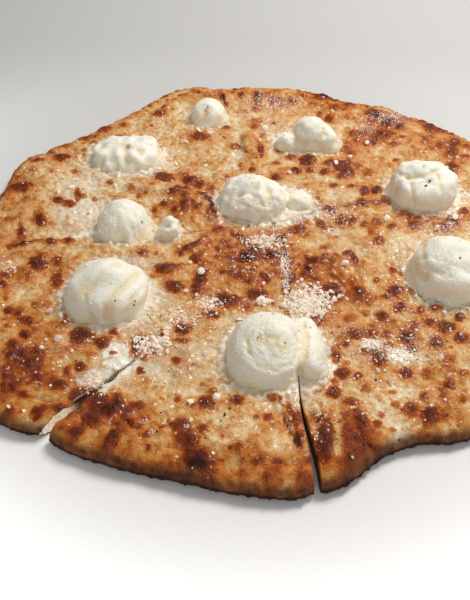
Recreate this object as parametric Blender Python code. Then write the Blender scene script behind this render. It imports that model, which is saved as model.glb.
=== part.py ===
"""Three cheese pizza, cut into eight slices that still lie together.

Each slice is a wedge of dough (crust_1 to crust_8) under its own layer of melted
cheese (cheese_1 to cheese_8). Nine spoonfuls of ricotta (ricotta_1 to ricotta_9) and
one small curd lie on the cheese, and the largest crumbs of grated cheese are fused
to it. Metres, +Z up, the underside at z = 0. Headings are degrees clockwise from +Y.
"""

import math
import random
from collections import namedtuple

import bmesh
import bpy
from mathutils import Vector
from mathutils.bvhtree import BVHTree

MM = 0.001

# The whole pizza: its mean radius, and the lobes and dips of its hand-stretched rim.
RADIUS = 180.5 * MM
Lobe = namedtuple("Lobe", "heading spread height")
RIM_LOBES = (
    Lobe(-170, 9, -3 * MM),
    Lobe(-134, 16, 13.5 * MM),
    Lobe(-88, 14, -2 * MM),
    Lobe(-66, 7, 8 * MM),
    Lobe(-46, 13, -7.5 * MM),
    Lobe(-18, 11, 15 * MM),
    Lobe(5, 13, 9 * MM),
    Lobe(21, 5, -5 * MM),
    Lobe(31, 3, 5 * MM),
    Lobe(56, 30, 12.5 * MM),
    Lobe(110, 24, 5 * MM),
    Lobe(156, 9, -14 * MM),
    Lobe(172, 3.5, 1.5 * MM),
)

# The cuts, which meet off the middle. A cut opens towards the rim, rounds the slices'
# corners there by its notch, sways in waves from a straight line and bends at the rim.
CUTS_MEET = (9 * MM, 8 * MM)
CUT_WIDTH = 0.7 * MM
Cut = namedtuple("Cut", "heading opening notch sway wave bend")
CUTS = (
    Cut(-15.8, 0.6 * MM, 5.0 * MM, 1.5 * MM, 110 * MM, 0),
    Cut(27.3, 0.4 * MM, 3.5 * MM, -1.5 * MM, 130 * MM, 0),
    Cut(69.5, 0.3 * MM, 2.5 * MM, -2.5 * MM, 120 * MM, 0),
    Cut(120, 0.3 * MM, 2.5 * MM, 1.5 * MM, 90 * MM, 0),
    Cut(173.6, 3.2 * MM, 2.0 * MM, -0.8 * MM, 80 * MM, 0),
    Cut(211.4, 4.4 * MM, 3.5 * MM, -0.8 * MM, 90 * MM, 7 * MM),
    Cut(256, 0.8 * MM, 3.0 * MM, 1.6 * MM, 130 * MM, 0),
    Cut(295.5, 0.4 * MM, 3.0 * MM, 5.0 * MM, 220 * MM, 0),
)
SLICES = len(CUTS)
OPENING_FROM = 95 * MM
SWAY_FROM = 30 * MM
BEND_POWER = 6
CORNER_SPAN = 12 * MM

# A slice's section: thin in the middle, a low crest inside the rim, a round shoulder.
DOUGH_HEIGHT = 6.4 * MM
CREST_RISE = 4.6 * MM
CREST_FROM_EDGE = 13 * MM
CREST_WIDTH = 15 * MM
SHOULDER = 9 * MM
EDGE_TOP = 5.0 * MM
UNDERSIDE_RISE = 2.4 * MM
UNDERSIDE_ROUND = 5 * MM
LAYER_GAP = 0.3 * MM
CHEESE_THICKNESS = 2.6 * MM
CHEESE_LIP = 0.9 * MM
CHEESE_TAPER = 14 * MM
CHEESE_BORDER = 13 * MM
Wave = namedtuple("Wave", "count phase height")
BORDER_WAVES = (Wave(7, 0, 3.0 * MM), Wave(17, 50, 2.1 * MM))

# The grid of a slice: its columns are shares of its angle, closer at the cuts; its
# inner rows share the way to the cheese's border, its rim rows the way from there.
COLUMNS = (0, 0.03, 0.09, 0.19, 0.32, 0.44, 0.56, 0.68, 0.81, 0.91, 0.97, 1)
INNER_ROWS = 10
RIM_ROWS = (0.68, 0.42, 0.22, 0.08, 0)
FLAT_RIM_ROWS = 2

# Slow unevenness of the sheet of dough: waves of a length, a direction and a height.
Roll = namedtuple("Roll", "length heading height")
ROLLS = (Roll(61 * MM, 67, 0.5 * MM), Roll(43 * MM, 341, 0.45 * MM), Roll(37 * MM, 261, 0.35 * MM))

# Bubbles and humps that lift the dough and its cheese: place, half widths along and
# across the heading, height.
Swell = namedtuple("Swell", "x y along across heading height")
SWELLS = (
    Swell(-9 * MM, 103 * MM, 15 * MM, 14 * MM, 0, 5.0 * MM),
    Swell(-50 * MM, 108 * MM, 20 * MM, 11 * MM, -60, 3.4 * MM),
    Swell(-60 * MM, 148 * MM, 16 * MM, 11 * MM, -70, 3.0 * MM),
    Swell(-43 * MM, 19 * MM, 17 * MM, 16 * MM, 0, 4.2 * MM),
    Swell(-132 * MM, 35 * MM, 18 * MM, 16 * MM, 0, 3.6 * MM),
    Swell(-146 * MM, 5 * MM, 14 * MM, 12 * MM, 0, 2.6 * MM),
    Swell(52 * MM, -29 * MM, 17 * MM, 16 * MM, 0, 4.0 * MM),
    Swell(72 * MM, 27 * MM, 18 * MM, 9 * MM, 75, 3.0 * MM),
    Swell(58 * MM, 74 * MM, 16 * MM, 15 * MM, 0, 2.6 * MM),
    Swell(103 * MM, 112 * MM, 17 * MM, 15 * MM, 0, 3.4 * MM),
    Swell(136 * MM, 84 * MM, 16 * MM, 14 * MM, 0, 3.0 * MM),
    Swell(46 * MM, -150 * MM, 16 * MM, 13 * MM, 0, 3.2 * MM),
    Swell(-12 * MM, -148 * MM, 26 * MM, 14 * MM, 90, 2.4 * MM),
    Swell(-118 * MM, -78 * MM, 20 * MM, 16 * MM, 20, 2.8 * MM),
    Swell(100 * MM, -100 * MM, 22 * MM, 18 * MM, 60, 2.6 * MM),
)

# Slice edges that a cut left standing up: slice, side, height, middle and half length.
Lift = namedtuple("Lift", "slice side height middle reach")
LIFTS = (
    Lift(6, "end", 4.6 * MM, 120 * MM, 30 * MM),
    Lift(7, "end", 3.4 * MM, 80 * MM, 46 * MM),
    Lift(8, "end", 1.8 * MM, 105 * MM, 30 * MM),
    Lift(2, "end", 2.0 * MM, 62 * MM, 30 * MM),
    Lift(5, "start", 1.2 * MM, 130 * MM, 40 * MM),
    Lift(6, "start", 1.8 * MM, 135 * MM, 40 * MM),
)
LIFT_WIDTH = 9 * MM

# Ricotta. A lump is a rounded body with its bottom sunk in the cheese; bumps raise or
# dent it towards a heading and an elevation; a swirl winds a groove up to its top.
Bump = namedtuple("Bump", "heading elevation spread height")
Lump = namedtuple("Lump", "x y width depth height turn bumps swirl")
Swirl = namedtuple("Swirl", "pitch depth start")
NO_SWIRL = Swirl(60, 0.0, 0)
RICOTTA = (
    (
        Lump(
            -42 * MM, 134 * MM, 28 * MM, 28 * MM, 16 * MM, 0,
            (Bump(180, 75, 24, -0.16), Bump(60, 10, 40, 0.06)), NO_SWIRL,
        ),
    ),
    (
        Lump(
            36 * MM, 106 * MM, 31 * MM, 29 * MM, 20 * MM, 0,
            (
                Bump(120, 20, 30, 0.12), Bump(-60, 55, 30, 0.10),
                Bump(190, 15, 40, 0.12), Bump(160, 50, 22, -0.10),
            ),
            NO_SWIRL,
        ),
        Lump(17 * MM, 98 * MM, 16 * MM, 15 * MM, 11 * MM, 0, (), NO_SWIRL),
        Lump(49 * MM, 103 * MM, 16 * MM, 28 * MM, 16 * MM, -15, (), NO_SWIRL),
    ),
    (
        Lump(
            -96 * MM, 78 * MM, 50 * MM, 39 * MM, 12 * MM, -10,
            (
                Bump(270, 28, 26, 0.20), Bump(-40, 40, 24, 0.22), Bump(60, 42, 26, 0.28),
                Bump(155, 30, 22, 0.18), Bump(215, 45, 18, -0.10),
            ),
            NO_SWIRL,
        ),
    ),
    (
        Lump(
            109 * MM, 45 * MM, 46 * MM, 43 * MM, 21.5 * MM, 0,
            (
                Bump(-60, 42, 24, 0.18), Bump(90, 25, 22, 0.20), Bump(218, 22, 20, 0.16),
                Bump(168, 28, 22, 0.16), Bump(192, 58, 18, -0.16), Bump(40, 60, 24, 0.08),
            ),
            NO_SWIRL,
        ),
    ),
    (
        Lump(
            -87 * MM, 0 * MM, 35 * MM, 36 * MM, 19.5 * MM, 0,
            (Bump(270, 30, 35, -0.14), Bump(95, 35, 30, 0.06)), NO_SWIRL,
        ),
    ),
    (
        Lump(
            -5 * MM, 28 * MM, 46 * MM, 39 * MM, 19.5 * MM, 0,
            (
                Bump(-60, 48, 26, 0.14), Bump(110, 30, 22, 0.16), Bump(75, 58, 14, -0.18),
                Bump(190, 22, 24, 0.14), Bump(222, 38, 16, -0.12), Bump(150, 10, 20, 0.10),
            ),
            NO_SWIRL,
        ),
        Lump(26 * MM, 31 * MM, 21 * MM, 16 * MM, 8.5 * MM, 0, (Bump(120, 40, 30, 0.10),), NO_SWIRL),
    ),
    (
        Lump(
            -85 * MM, -63 * MM, 49 * MM, 46 * MM, 22 * MM, 0,
            (Bump(215, 20, 25, -0.10), Bump(100, 25, 30, 0.05)), Swirl(62, 0.055, 200),
        ),
    ),
    (
        Lump(
            6 * MM, -102 * MM, 42 * MM, 48 * MM, 24 * MM, 5,
            (Bump(185, 60, 16, -0.10),), Swirl(42, 0.05, 40),
        ),
        Lump(
            29 * MM, -98 * MM, 17 * MM, 43 * MM, 15 * MM, -6,
            (Bump(180, 40, 26, 0.12),), NO_SWIRL,
        ),
    ),
    (
        Lump(
            113 * MM, -37 * MM, 48 * MM, 48 * MM, 24 * MM, 0,
            (
                Bump(262, 34, 24, 0.12), Bump(-25, 55, 26, 0.10), Bump(235, 32, 14, -0.12),
                Bump(150, 30, 26, 0.10), Bump(195, 25, 20, 0.08),
            ),
            Swirl(75, 0.03, 120),
        ),
    ),
)
SMALL_CURD = (
    Lump(
        -56 * MM, -5 * MM, 14 * MM, 15 * MM, 11 * MM, 0,
        (Bump(20, 70, 25, 0.25), Bump(120, 25, 28, 0.28), Bump(240, 25, 28, 0.22)), NO_SWIRL,
    ),
)
LUMP_EDGE = 6.5 * MM
LUMP_SEGMENTS = (10, 20)
RINGS_PER_SEGMENT = 0.62
LUMP_SUNK = 0.30
LUMP_SQUARENESS = 2.35
LUMP_ROUGHNESS = 0.035
SWIRL_FROM_TOP = 25
BED_FLOOR = -10 * MM

# Grated cheese: the crumbs that are large enough to stand up from the melted layer.
CRUMBS_ON_A_SLICE = 6
CRUMB_RADIUS = (1.5 * MM, 2.3 * MM)
CRUMB_SUNK = 0.35
CRUMB_ANGLES = (0.14, 0.86)
CRUMB_AREAS = (0.08, 0.66)
CRUMB_SEED = 11
CLEAR_OF_RICOTTA = 5 * MM


def direction(heading):
    """Unit vector in plan for a heading."""
    turn = math.radians(heading)
    return Vector((math.sin(turn), math.cos(turn)))


def bell(distance, width):
    """1 in the middle, falling smoothly to nothing over about two widths."""
    return math.exp(-((distance / width) ** 2))


def smooth_step(low, high, value):
    """0 below low, 1 above high, and an even curve between them."""
    share = min(max((value - low) / (high - low), 0.0), 1.0)
    return share * share * (3 - 2 * share)


def rim_radius(heading):
    """Distance of the rim from the middle of the pizza."""
    radius = RADIUS
    for lobe in RIM_LOBES:
        off = (heading - lobe.heading + 180) % 360 - 180
        radius += lobe.height * bell(off, lobe.spread)
    return radius


def edge_distance(point):
    """How far inside the rim a point in plan lies."""
    heading = math.degrees(math.atan2(point.x, point.y))
    return rim_radius(heading) - point.length


def way_to_rim(start, towards):
    """Distance from a point inside the pizza to its rim, by halving."""
    near, far = 0.0, 2.5 * RADIUS
    for _ in range(40):
        middle = (near + far) / 2
        if edge_distance(start + towards * middle) > 0:
            near = middle
        else:
            far = middle
    return near


def undulation(point):
    """Slow unevenness of a hand-stretched sheet of dough."""
    total = 0.0
    for roll in ROLLS:
        run = point.dot(direction(roll.heading))
        total += roll.height * math.sin(2 * math.pi * run / roll.length + math.radians(roll.heading))
    return total


def swell_height(point):
    """Rise of the bubbles, humps and rolls under a point."""
    total = undulation(point)
    for swell in SWELLS:
        offset = point - Vector((swell.x, swell.y))
        ahead = direction(swell.heading)
        along = offset.dot(ahead) / swell.along
        across = offset.cross(ahead) / swell.across
        total += swell.height * math.exp(-(along * along + across * across))
    return total


def lift_height(number, point):
    """Rise of a slice's edge where a cut left it standing."""
    total = 0.0
    for lift in LIFTS:
        if lift.slice != number:
            continue
        cut = CUTS[(number - 1 + (lift.side == "end")) % SLICES]
        ahead = direction(cut.heading)
        offset = point - Vector(CUTS_MEET)
        along = offset.dot(ahead)
        across = abs(offset.cross(ahead))
        total += lift.height * bell(across, LIFT_WIDTH) * bell(along - lift.middle, lift.reach)
    return total


def dough_top(number, point, inside):
    """Height of the dough's top at a point that lies this far inside the rim."""
    height = DOUGH_HEIGHT + CREST_RISE * bell(inside - CREST_FROM_EDGE, CREST_WIDTH)
    height += swell_height(point) + lift_height(number, point)
    short = 1 - min(max(inside, 0.0) / SHOULDER, 1.0)
    return EDGE_TOP + (height - EDGE_TOP) * math.sqrt(1 - short * short)


def dough_bottom(inside):
    """Height of the underside, which rounds up at the rim."""
    short = 1 - min(max(inside, 0.0) / UNDERSIDE_ROUND, 1.0)
    return UNDERSIDE_RISE * (1 - math.sqrt(1 - short * short))


def cheese_thickness(from_border):
    """The melted layer thins towards its border."""
    return CHEESE_LIP + (CHEESE_THICKNESS - CHEESE_LIP) * smooth_step(0, CHEESE_TAPER, from_border)


class SliceGrid:
    """The plan points that a slice's dough and cheese share, row by row from its tip."""

    def __init__(self, number):
        self.number = number
        self.start = CUTS[number - 1]
        self.end = CUTS[number % SLICES]
        first = self.start.heading
        last = self.end.heading + (360 if self.end.heading < first else 0)
        self.first, self.span = first, last - first
        half_span = math.radians(self.span / 2)
        tip_shift = CUT_WIDTH / 2 / math.sin(half_span)
        self.tip = Vector(CUTS_MEET) + direction(first + self.span / 2) * tip_shift
        self.rows = []
        self.insides = []
        for row in range(1, INNER_ROWS + 1):
            self.add_row(row / INNER_ROWS, None)
        for share in RIM_ROWS:
            self.add_row(1, share)

    def add_row(self, inner_share, rim_share):
        points, insides = [], []
        for column in COLUMNS:
            heading = self.first + column * self.span
            reach, border = self.reach_and_border(column, heading)
            inside = border if rim_share is None else border * rim_share
            run = (reach - inside) * inner_share
            points.append(self.tip + direction(heading) * run + self.side_shift(column, run))
            insides.append(reach - run)
        self.rows.append(points)
        self.insides.append(insides)

    def reach_and_border(self, column, heading):
        """Way from the tip to the rim, and the width of bare rim there."""
        reach = way_to_rim(self.tip, direction(heading))
        for cut, share in ((self.start, column), (self.end, 1 - column)):
            across = reach * math.radians(share * self.span)
            reach -= cut.notch * max(1 - across / CORNER_SPAN, 0.0) ** 2
        border = CHEESE_BORDER
        for wave in BORDER_WAVES:
            border += wave.height * math.sin(math.radians(heading * wave.count + wave.phase))
        return reach, border

    def side_shift(self, column, run):
        """Sideways shift that opens the cuts towards the rim and lets them sway."""
        shift = Vector((0.0, 0.0))
        for cut, share, inward in ((self.start, 1 - column, 1), (self.end, column, -1)):
            ahead = direction(cut.heading)
            right = Vector((ahead.y, -ahead.x))
            opening = cut.opening / 2 * smooth_step(OPENING_FROM, RADIUS, run)
            sway = cut.sway * math.sin(2 * math.pi * run / cut.wave) * smooth_step(0, SWAY_FROM, run)
            bend = cut.bend * (run / RADIUS) ** BEND_POWER
            shift += right * (inward * opening + sway + bend) * share * share
        return shift

    def dough_heights(self):
        return [
            [dough_top(self.number, point, inside) for point, inside in zip(points, insides)]
            for points, insides in zip(self.rows, self.insides)
        ]

    def cheese_heights(self):
        """Top of the melted cheese over the inner rows."""
        borders = self.insides[INNER_ROWS - 1]
        return [
            [
                height + LAYER_GAP + cheese_thickness(inside - border)
                for height, inside, border in zip(heights, insides, borders)
            ]
            for heights, insides in zip(self.dough_heights()[:INNER_ROWS], self.insides)
        ]

    def tip_inside(self):
        return edge_distance(self.tip)


class MeshMaker:
    """Collects points and triangles, and makes them into an object."""

    def __init__(self):
        self.points = []
        self.faces = []

    def point(self, plan, height):
        self.points.append((plan.x, plan.y, height))
        return len(self.points) - 1

    def sheet(self, tip, tip_height, rows, heights):
        """Points of a sheet: its tip first, then its rows."""
        at_tip = self.point(tip, tip_height)
        return at_tip, [[self.point(p, z) for p, z in zip(row, high)] for row, high in zip(rows, heights)]

    def cover(self, at_tip, rows, up):
        """Triangles over a sheet, facing up or down."""
        for left, right in zip(rows[0], rows[0][1:]):
            self.triangle(at_tip, left, right, up)
        for near, far in zip(rows, rows[1:]):
            self.strip(near, far, up)

    def strip(self, near, far, up):
        for a, b, c, d in zip(near, near[1:], far[1:], far):
            self.triangle(a, c, b, up)
            self.triangle(a, d, c, up)

    def triangle(self, a, b, c, up):
        self.faces.append((a, c, b) if up == self.runs_left(a, b, c) else (a, b, c))

    def runs_left(self, a, b, c):
        """Whether three points turn clockwise in plan."""
        (ax, ay, _), (bx, by, _), (cx, cy, _) = (self.points[i] for i in (a, b, c))
        return (bx - ax) * (cy - ay) - (by - ay) * (cx - ax) < 0

    def wall(self, upper, lower):
        """A wall between two chains of points; facing left of the way they run."""
        for a, b, c, d in zip(upper, upper[1:], lower[1:], lower):
            self.faces.append((a, b, c))
            self.faces.append((a, c, d))

    def make(self, name, material):
        mesh = bpy.data.meshes.new(name)
        mesh.from_pydata(self.points, [], self.faces)
        mesh.update()
        obj = bpy.data.objects.new(name, mesh)
        bpy.context.scene.collection.objects.link(obj)
        mesh.materials.append(material)
        fix_normals(mesh)
        mesh.shade_smooth()
        mesh.set_sharp_from_angle(angle=math.radians(50))
        return obj


def fix_normals(mesh):
    shape = bmesh.new()
    shape.from_mesh(mesh)
    bmesh.ops.recalc_face_normals(shape, faces=shape.faces)
    shape.to_mesh(mesh)
    shape.free()


def plain_material(name, colour, roughness):
    material = bpy.data.materials.new(name)
    material.use_nodes = True
    shader = material.node_tree.nodes["Principled BSDF"]
    shader.inputs["Base Color"].default_value = (*colour, 1.0)
    shader.inputs["Roughness"].default_value = roughness
    shader.inputs["Metallic"].default_value = 0.0
    return material


def side_chain(at_tip, rows, column):
    return [at_tip] + [row[column] for row in rows]


def make_crust(grid, material):
    """A wedge of dough: top, cut walls, round rim and flat underside."""
    maker = MeshMaker()
    tip_height = dough_top(grid.number, grid.tip, grid.tip_inside())
    tip_top, top = maker.sheet(grid.tip, tip_height, grid.rows, grid.dough_heights())
    heights = [[dough_bottom(inside) for inside in insides] for insides in grid.insides]
    tip_low, low = maker.sheet(grid.tip, 0.0, grid.rows, heights)
    maker.cover(tip_top, top, True)
    flat = INNER_ROWS + FLAT_RIM_ROWS
    for near, far in zip(low[flat - 1:], low[flat:]):
        maker.strip(near, far, False)
    flat_edge = side_chain(tip_low, low[:flat], 0) + low[flat - 1][1:-1]
    flat_edge += [row[-1] for row in reversed(low[:flat])]
    maker.faces.append(tuple(flat_edge))
    maker.wall(side_chain(tip_top, top, 0), side_chain(tip_low, low, 0))
    maker.wall(side_chain(tip_low, low, -1), side_chain(tip_top, top, -1))
    maker.wall(top[-1], low[-1])
    drop_loose_points(maker)
    return maker.make(f"crust_{grid.number}", material)


def drop_loose_points(maker):
    """Removes the underside's inner points, which no face uses."""
    used = sorted({corner for face in maker.faces for corner in face})
    place = {old: new for new, old in enumerate(used)}
    maker.points = [maker.points[old] for old in used]
    maker.faces = [tuple(place[corner] for corner in face) for face in maker.faces]


def make_cheese(grid, material):
    """The melted layer over one wedge, a constant gap above its dough."""
    maker = MeshMaker()
    base = dough_top(grid.number, grid.tip, grid.tip_inside()) + LAYER_GAP
    rows = grid.rows[:INNER_ROWS]
    tip_top, top = maker.sheet(grid.tip, base + CHEESE_THICKNESS, rows, grid.cheese_heights())
    heights = [[height + LAYER_GAP for height in row] for row in grid.dough_heights()[:INNER_ROWS]]
    tip_low, low = maker.sheet(grid.tip, base, rows, heights)
    maker.cover(tip_top, top, True)
    maker.cover(tip_low, low, False)
    maker.wall(side_chain(tip_top, top, 0), side_chain(tip_low, low, 0))
    maker.wall(side_chain(tip_low, low, -1), side_chain(tip_top, top, -1))
    maker.wall(top[-1], low[-1])
    return maker.make(f"cheese_{grid.number}", material)


def make_bed(grids):
    """A block whose top is the whole cheese surface raised by the layer gap, cuts bridged."""
    maker = MeshMaker()
    edges = []
    for grid in grids:
        base = dough_top(grid.number, grid.tip, grid.tip_inside()) + 2 * LAYER_GAP + CHEESE_THICKNESS
        heights = [[height + LAYER_GAP for height in row] for row in grid.cheese_heights()]
        tip, rows = maker.sheet(grid.tip, base, grid.rows[:INNER_ROWS], heights)
        maker.cover(tip, rows, True)
        edges.append((side_chain(tip, rows, 0), side_chain(tip, rows, -1), rows[-1]))
    rim = []
    for (_, last, outer), (first, _, _) in zip(edges, edges[1:] + edges[:1]):
        maker.wall(last, first)
        rim += outer
    maker.faces.append(tuple(start[0] for start, _, _ in reversed(edges)))
    below = [maker.point(Vector(maker.points[corner][:2]), BED_FLOOR) for corner in rim]
    maker.wall(rim + rim[:1], below + below[:1])
    maker.faces.append(tuple(below))
    bed = maker.make("bed", None)
    bed.hide_render = True
    bed.display_type = "WIRE"
    return bed


def lump_scale(lump, sight):
    """How far a lump reaches along a unit vector, as a share of its half sizes."""
    share = 1.0
    for bump in lump.bumps:
        plan = direction(bump.heading) * math.cos(math.radians(bump.elevation))
        axis = Vector((plan.x, plan.y, math.sin(math.radians(bump.elevation))))
        off = math.degrees(axis.angle(sight))
        share += bump.height * bell(off, bump.spread)
    down = math.degrees(math.acos(max(-1.0, min(1.0, sight.z))))
    around = math.degrees(math.atan2(sight.x, sight.y)) - lump.swirl.start
    winding = 2 * math.pi * down / lump.swirl.pitch + math.radians(around)
    share += lump.swirl.depth * math.cos(winding) * smooth_step(0, SWIRL_FROM_TOP, down)
    rough = math.sin(7 * sight.x + 3 * lump.x / MM) * math.sin(6 * sight.y + lump.y / MM)
    return share + LUMP_ROUGHNESS * rough * math.cos(8 * sight.z)


def make_lump(name, lump, level, material):
    """A closed rounded body with its middle a little above the cheese."""
    rise = lump.height * (1 - LUMP_SUNK)
    half = (lump.width / 2, lump.depth / 2, rise)
    turn = math.radians(-lump.turn)
    fewest, most = LUMP_SEGMENTS
    segments = min(max(round(math.pi * lump.width / LUMP_EDGE), fewest), most)
    rings = round(segments * RINGS_PER_SEGMENT)
    shape = bmesh.new()
    bmesh.ops.create_uvsphere(shape, u_segments=segments, v_segments=rings, radius=1.0)
    for vertex in shape.verts:
        sight = vertex.co.normalized()
        power = LUMP_SQUARENESS
        round_off = sum(abs(part) ** power for part in sight) ** (-1 / power)
        reach = round_off * lump_scale(lump, sight)
        x, y, z = (part * size * reach for part, size in zip(sight, half))
        vertex.co = (
            lump.x + x * math.cos(turn) - y * math.sin(turn),
            lump.y + x * math.sin(turn) + y * math.cos(turn),
            level + LUMP_SUNK * lump.height + z,
        )
    mesh = bpy.data.meshes.new(name)
    shape.to_mesh(mesh)
    shape.free()
    mesh.materials.append(material)
    mesh.shade_smooth()
    obj = bpy.data.objects.new(name, mesh)
    bpy.context.scene.collection.objects.link(obj)
    return obj


def apply_boolean(obj, operation, others, solver="EXACT"):
    """Joins or cuts an object with a collection of others, then removes those."""
    tools = bpy.data.collections.new("tools")
    bpy.context.scene.collection.children.link(tools)
    for other in others:
        tools.objects.link(other)
    modifier = obj.modifiers.new("boolean", "BOOLEAN")
    modifier.operation = operation
    modifier.operand_type = "COLLECTION"
    modifier.collection = tools
    modifier.solver = solver
    bpy.context.view_layer.update()
    evaluated = obj.evaluated_get(bpy.context.evaluated_depsgraph_get())
    mesh = bpy.data.meshes.new_from_object(evaluated)
    obj.modifiers.clear()
    obj.data = mesh
    bpy.data.collections.remove(tools)


def remove_objects(objects):
    for obj in objects:
        bpy.data.objects.remove(obj, do_unlink=True)


def surface_level(bed_tree, x, y):
    """Height of the raised cheese surface under a point."""
    return bed_tree.ray_cast(Vector((x, y, 1.0)), Vector((0, 0, -1)))[0].z


def make_ricotta(name, lumps, bed, bed_tree, material):
    """The lumps of one spoonful in one body, with its underside fitted to the cheese."""
    levels = [surface_level(bed_tree, lump.x, lump.y) for lump in lumps]
    parts = [
        make_lump(f"{name}_{index}", lump, level, material)
        for index, (lump, level) in enumerate(zip(lumps, levels))
    ]
    body = parts[0]
    body.name = name
    if parts[1:]:
        apply_boolean(body, "UNION", parts[1:])
        remove_objects(parts[1:])
    apply_boolean(body, "DIFFERENCE", [bed], "MANIFOLD")
    return body


def crumb_places(grid, draw):
    """Places on one slice for its crumbs, clear of the ricotta and of the cuts."""
    lumps = [lump for lumps in RICOTTA + (SMALL_CURD,) for lump in lumps]
    places = []
    while len(places) < CRUMBS_ON_A_SLICE:
        heading = grid.first + grid.span * draw.uniform(*CRUMB_ANGLES)
        run = way_to_rim(grid.tip, direction(heading)) * math.sqrt(draw.uniform(*CRUMB_AREAS))
        place = grid.tip + direction(heading) * run
        far_enough = all(
            (place - Vector((lump.x, lump.y))).length > max(lump.width, lump.depth) / 2 + CLEAR_OF_RICOTTA
            for lump in lumps
        )
        if far_enough and all((place - other).length > 3 * CRUMB_RADIUS[1] for other in places):
            places.append(place)
    return places


def make_crumb(name, place, level, draw, material):
    """An angular grain of grated cheese, part sunk in the melted layer."""
    radius = draw.uniform(*CRUMB_RADIUS)
    shape = bmesh.new()
    bmesh.ops.create_icosphere(shape, subdivisions=1, radius=radius)
    squash = Vector((draw.uniform(0.8, 1.3), draw.uniform(0.8, 1.2), draw.uniform(0.65, 0.9)))
    bmesh.ops.scale(shape, vec=squash, verts=shape.verts)
    mesh = bpy.data.meshes.new(name)
    shape.to_mesh(mesh)
    shape.free()
    mesh.materials.append(material)
    crumb = bpy.data.objects.new(name, mesh)
    crumb.location = (place.x, place.y, level + radius * (1 - 2 * CRUMB_SUNK) * squash.z)
    crumb.rotation_euler = (0, 0, draw.uniform(0, math.tau))
    bpy.context.scene.collection.objects.link(crumb)
    return crumb


def add_crumbs(cheese, grid, bed_tree, draw, material):
    """Fuses one slice's crumbs to its cheese."""
    crumbs = []
    for index, place in enumerate(crumb_places(grid, draw)):
        level = surface_level(bed_tree, place.x, place.y) - LAYER_GAP
        crumbs.append(make_crumb(f"crumb_{index}", place, level, draw, material))
    apply_boolean(cheese, "UNION", crumbs)
    remove_objects(crumbs)


def centre_on_origin(objects):
    """Moves every mesh so that the middle of the whole plan lies on the Z axis."""
    corners = [vertex.co for obj in objects for vertex in obj.data.vertices]
    middle = [(max(c[i] for c in corners) + min(c[i] for c in corners)) / 2 for i in (0, 1)]
    for obj in objects:
        for vertex in obj.data.vertices:
            vertex.co.x -= middle[0]
            vertex.co.y -= middle[1]


def main():
    for obj in list(bpy.data.objects):
        bpy.data.objects.remove(obj, do_unlink=True)
    crust_material = plain_material("baked_dough", (0.58, 0.30, 0.11), 0.7)
    cheese_material = plain_material("melted_cheese", (0.72, 0.47, 0.22), 0.5)
    ricotta_material = plain_material("ricotta", (0.86, 0.80, 0.62), 0.55)
    draw = random.Random(CRUMB_SEED)
    grids = [SliceGrid(number) for number in range(1, SLICES + 1)]
    bed = make_bed(grids)
    bed_tree = BVHTree.FromObject(bed, bpy.context.evaluated_depsgraph_get())
    pieces = []
    for grid in grids:
        pieces.append(make_crust(grid, crust_material))
        cheese = make_cheese(grid, cheese_material)
        add_crumbs(cheese, grid, bed_tree, draw, cheese_material)
        pieces.append(cheese)
    for index, lumps in enumerate(RICOTTA, 1):
        pieces.append(make_ricotta(f"ricotta_{index}", lumps, bed, bed_tree, ricotta_material))
    pieces.append(make_ricotta("small_curd", SMALL_CURD, bed, bed_tree, ricotta_material))
    remove_objects([bed])
    centre_on_origin(pieces)


main()
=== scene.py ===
"""Three cheese pizza: the looks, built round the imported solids.

Each slice gets a baked dough piece and a melted cheese piece in place of its two solids,
the ricotta solids become soft spoonfuls, and grated cheese and pepper are strewn on top.
What the oven did is first painted on charts, which lie over the pizza in plan; the pieces
read their relief and their colours from them. Metres, +Z up.
"""

import math
from collections import namedtuple
from itertools import combinations, product

import bpy
import numpy as np
from mathutils import Euler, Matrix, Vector
from mathutils.bvhtree import BVHTree


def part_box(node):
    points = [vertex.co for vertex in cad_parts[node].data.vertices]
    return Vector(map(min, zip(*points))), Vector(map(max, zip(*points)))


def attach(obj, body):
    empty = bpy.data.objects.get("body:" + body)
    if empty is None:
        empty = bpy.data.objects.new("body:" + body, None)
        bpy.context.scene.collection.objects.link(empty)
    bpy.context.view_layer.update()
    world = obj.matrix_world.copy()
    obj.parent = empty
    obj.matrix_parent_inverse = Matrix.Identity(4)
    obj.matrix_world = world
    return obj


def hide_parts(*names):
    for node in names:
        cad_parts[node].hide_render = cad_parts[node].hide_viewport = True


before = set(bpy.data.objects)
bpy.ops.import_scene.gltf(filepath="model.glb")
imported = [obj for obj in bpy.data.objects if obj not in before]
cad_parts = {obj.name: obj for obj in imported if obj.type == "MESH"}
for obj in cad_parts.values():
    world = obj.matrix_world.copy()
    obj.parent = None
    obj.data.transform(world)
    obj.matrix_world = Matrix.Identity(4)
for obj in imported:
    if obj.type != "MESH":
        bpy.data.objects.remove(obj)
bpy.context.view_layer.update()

MM = 0.001
SLICES = 8
SPOONFULS = [f"ricotta_{number}" for number in range(1, 10)] + ["small_curd"]

# The view. Places that were read off the picture are pixels of a 470 by 600 frame.
IMAGE_WIDTH = 470
IMAGE_HEIGHT = 600
CAMERA_PLACE = Vector((-0.003876, -0.331722, 0.27926))
CAMERA_TURN = Euler((math.radians(44.52), 0.0, math.radians(2.656)))
SENSOR = 36.0
LENS = 39.84
FOCAL_PIXELS = LENS / SENSOR * IMAGE_HEIGHT

# The charts: squares of half a millimetre over the whole pizza.
CHART_CELLS = 768
CHART_SIDE = 384 * MM
CELL = CHART_SIDE / CHART_CELLS

# The slices' own sizes, as the solids have them.
CUTS_MEET = np.array((5.1 * MM, 3.2 * MM))
LAYER_GAP = 0.3 * MM
CHEESE_THICKNESS = 2.6 * MM
CHEESE_LIP = 0.9 * MM
CHEESE_TAPER = 14 * MM
SHOULDER = 9 * MM
UNDERSIDE_RISE = 2.4 * MM
UNDERSIDE_ROUND = 5 * MM
CRUMB_STANDS = 3.7 * MM

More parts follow.
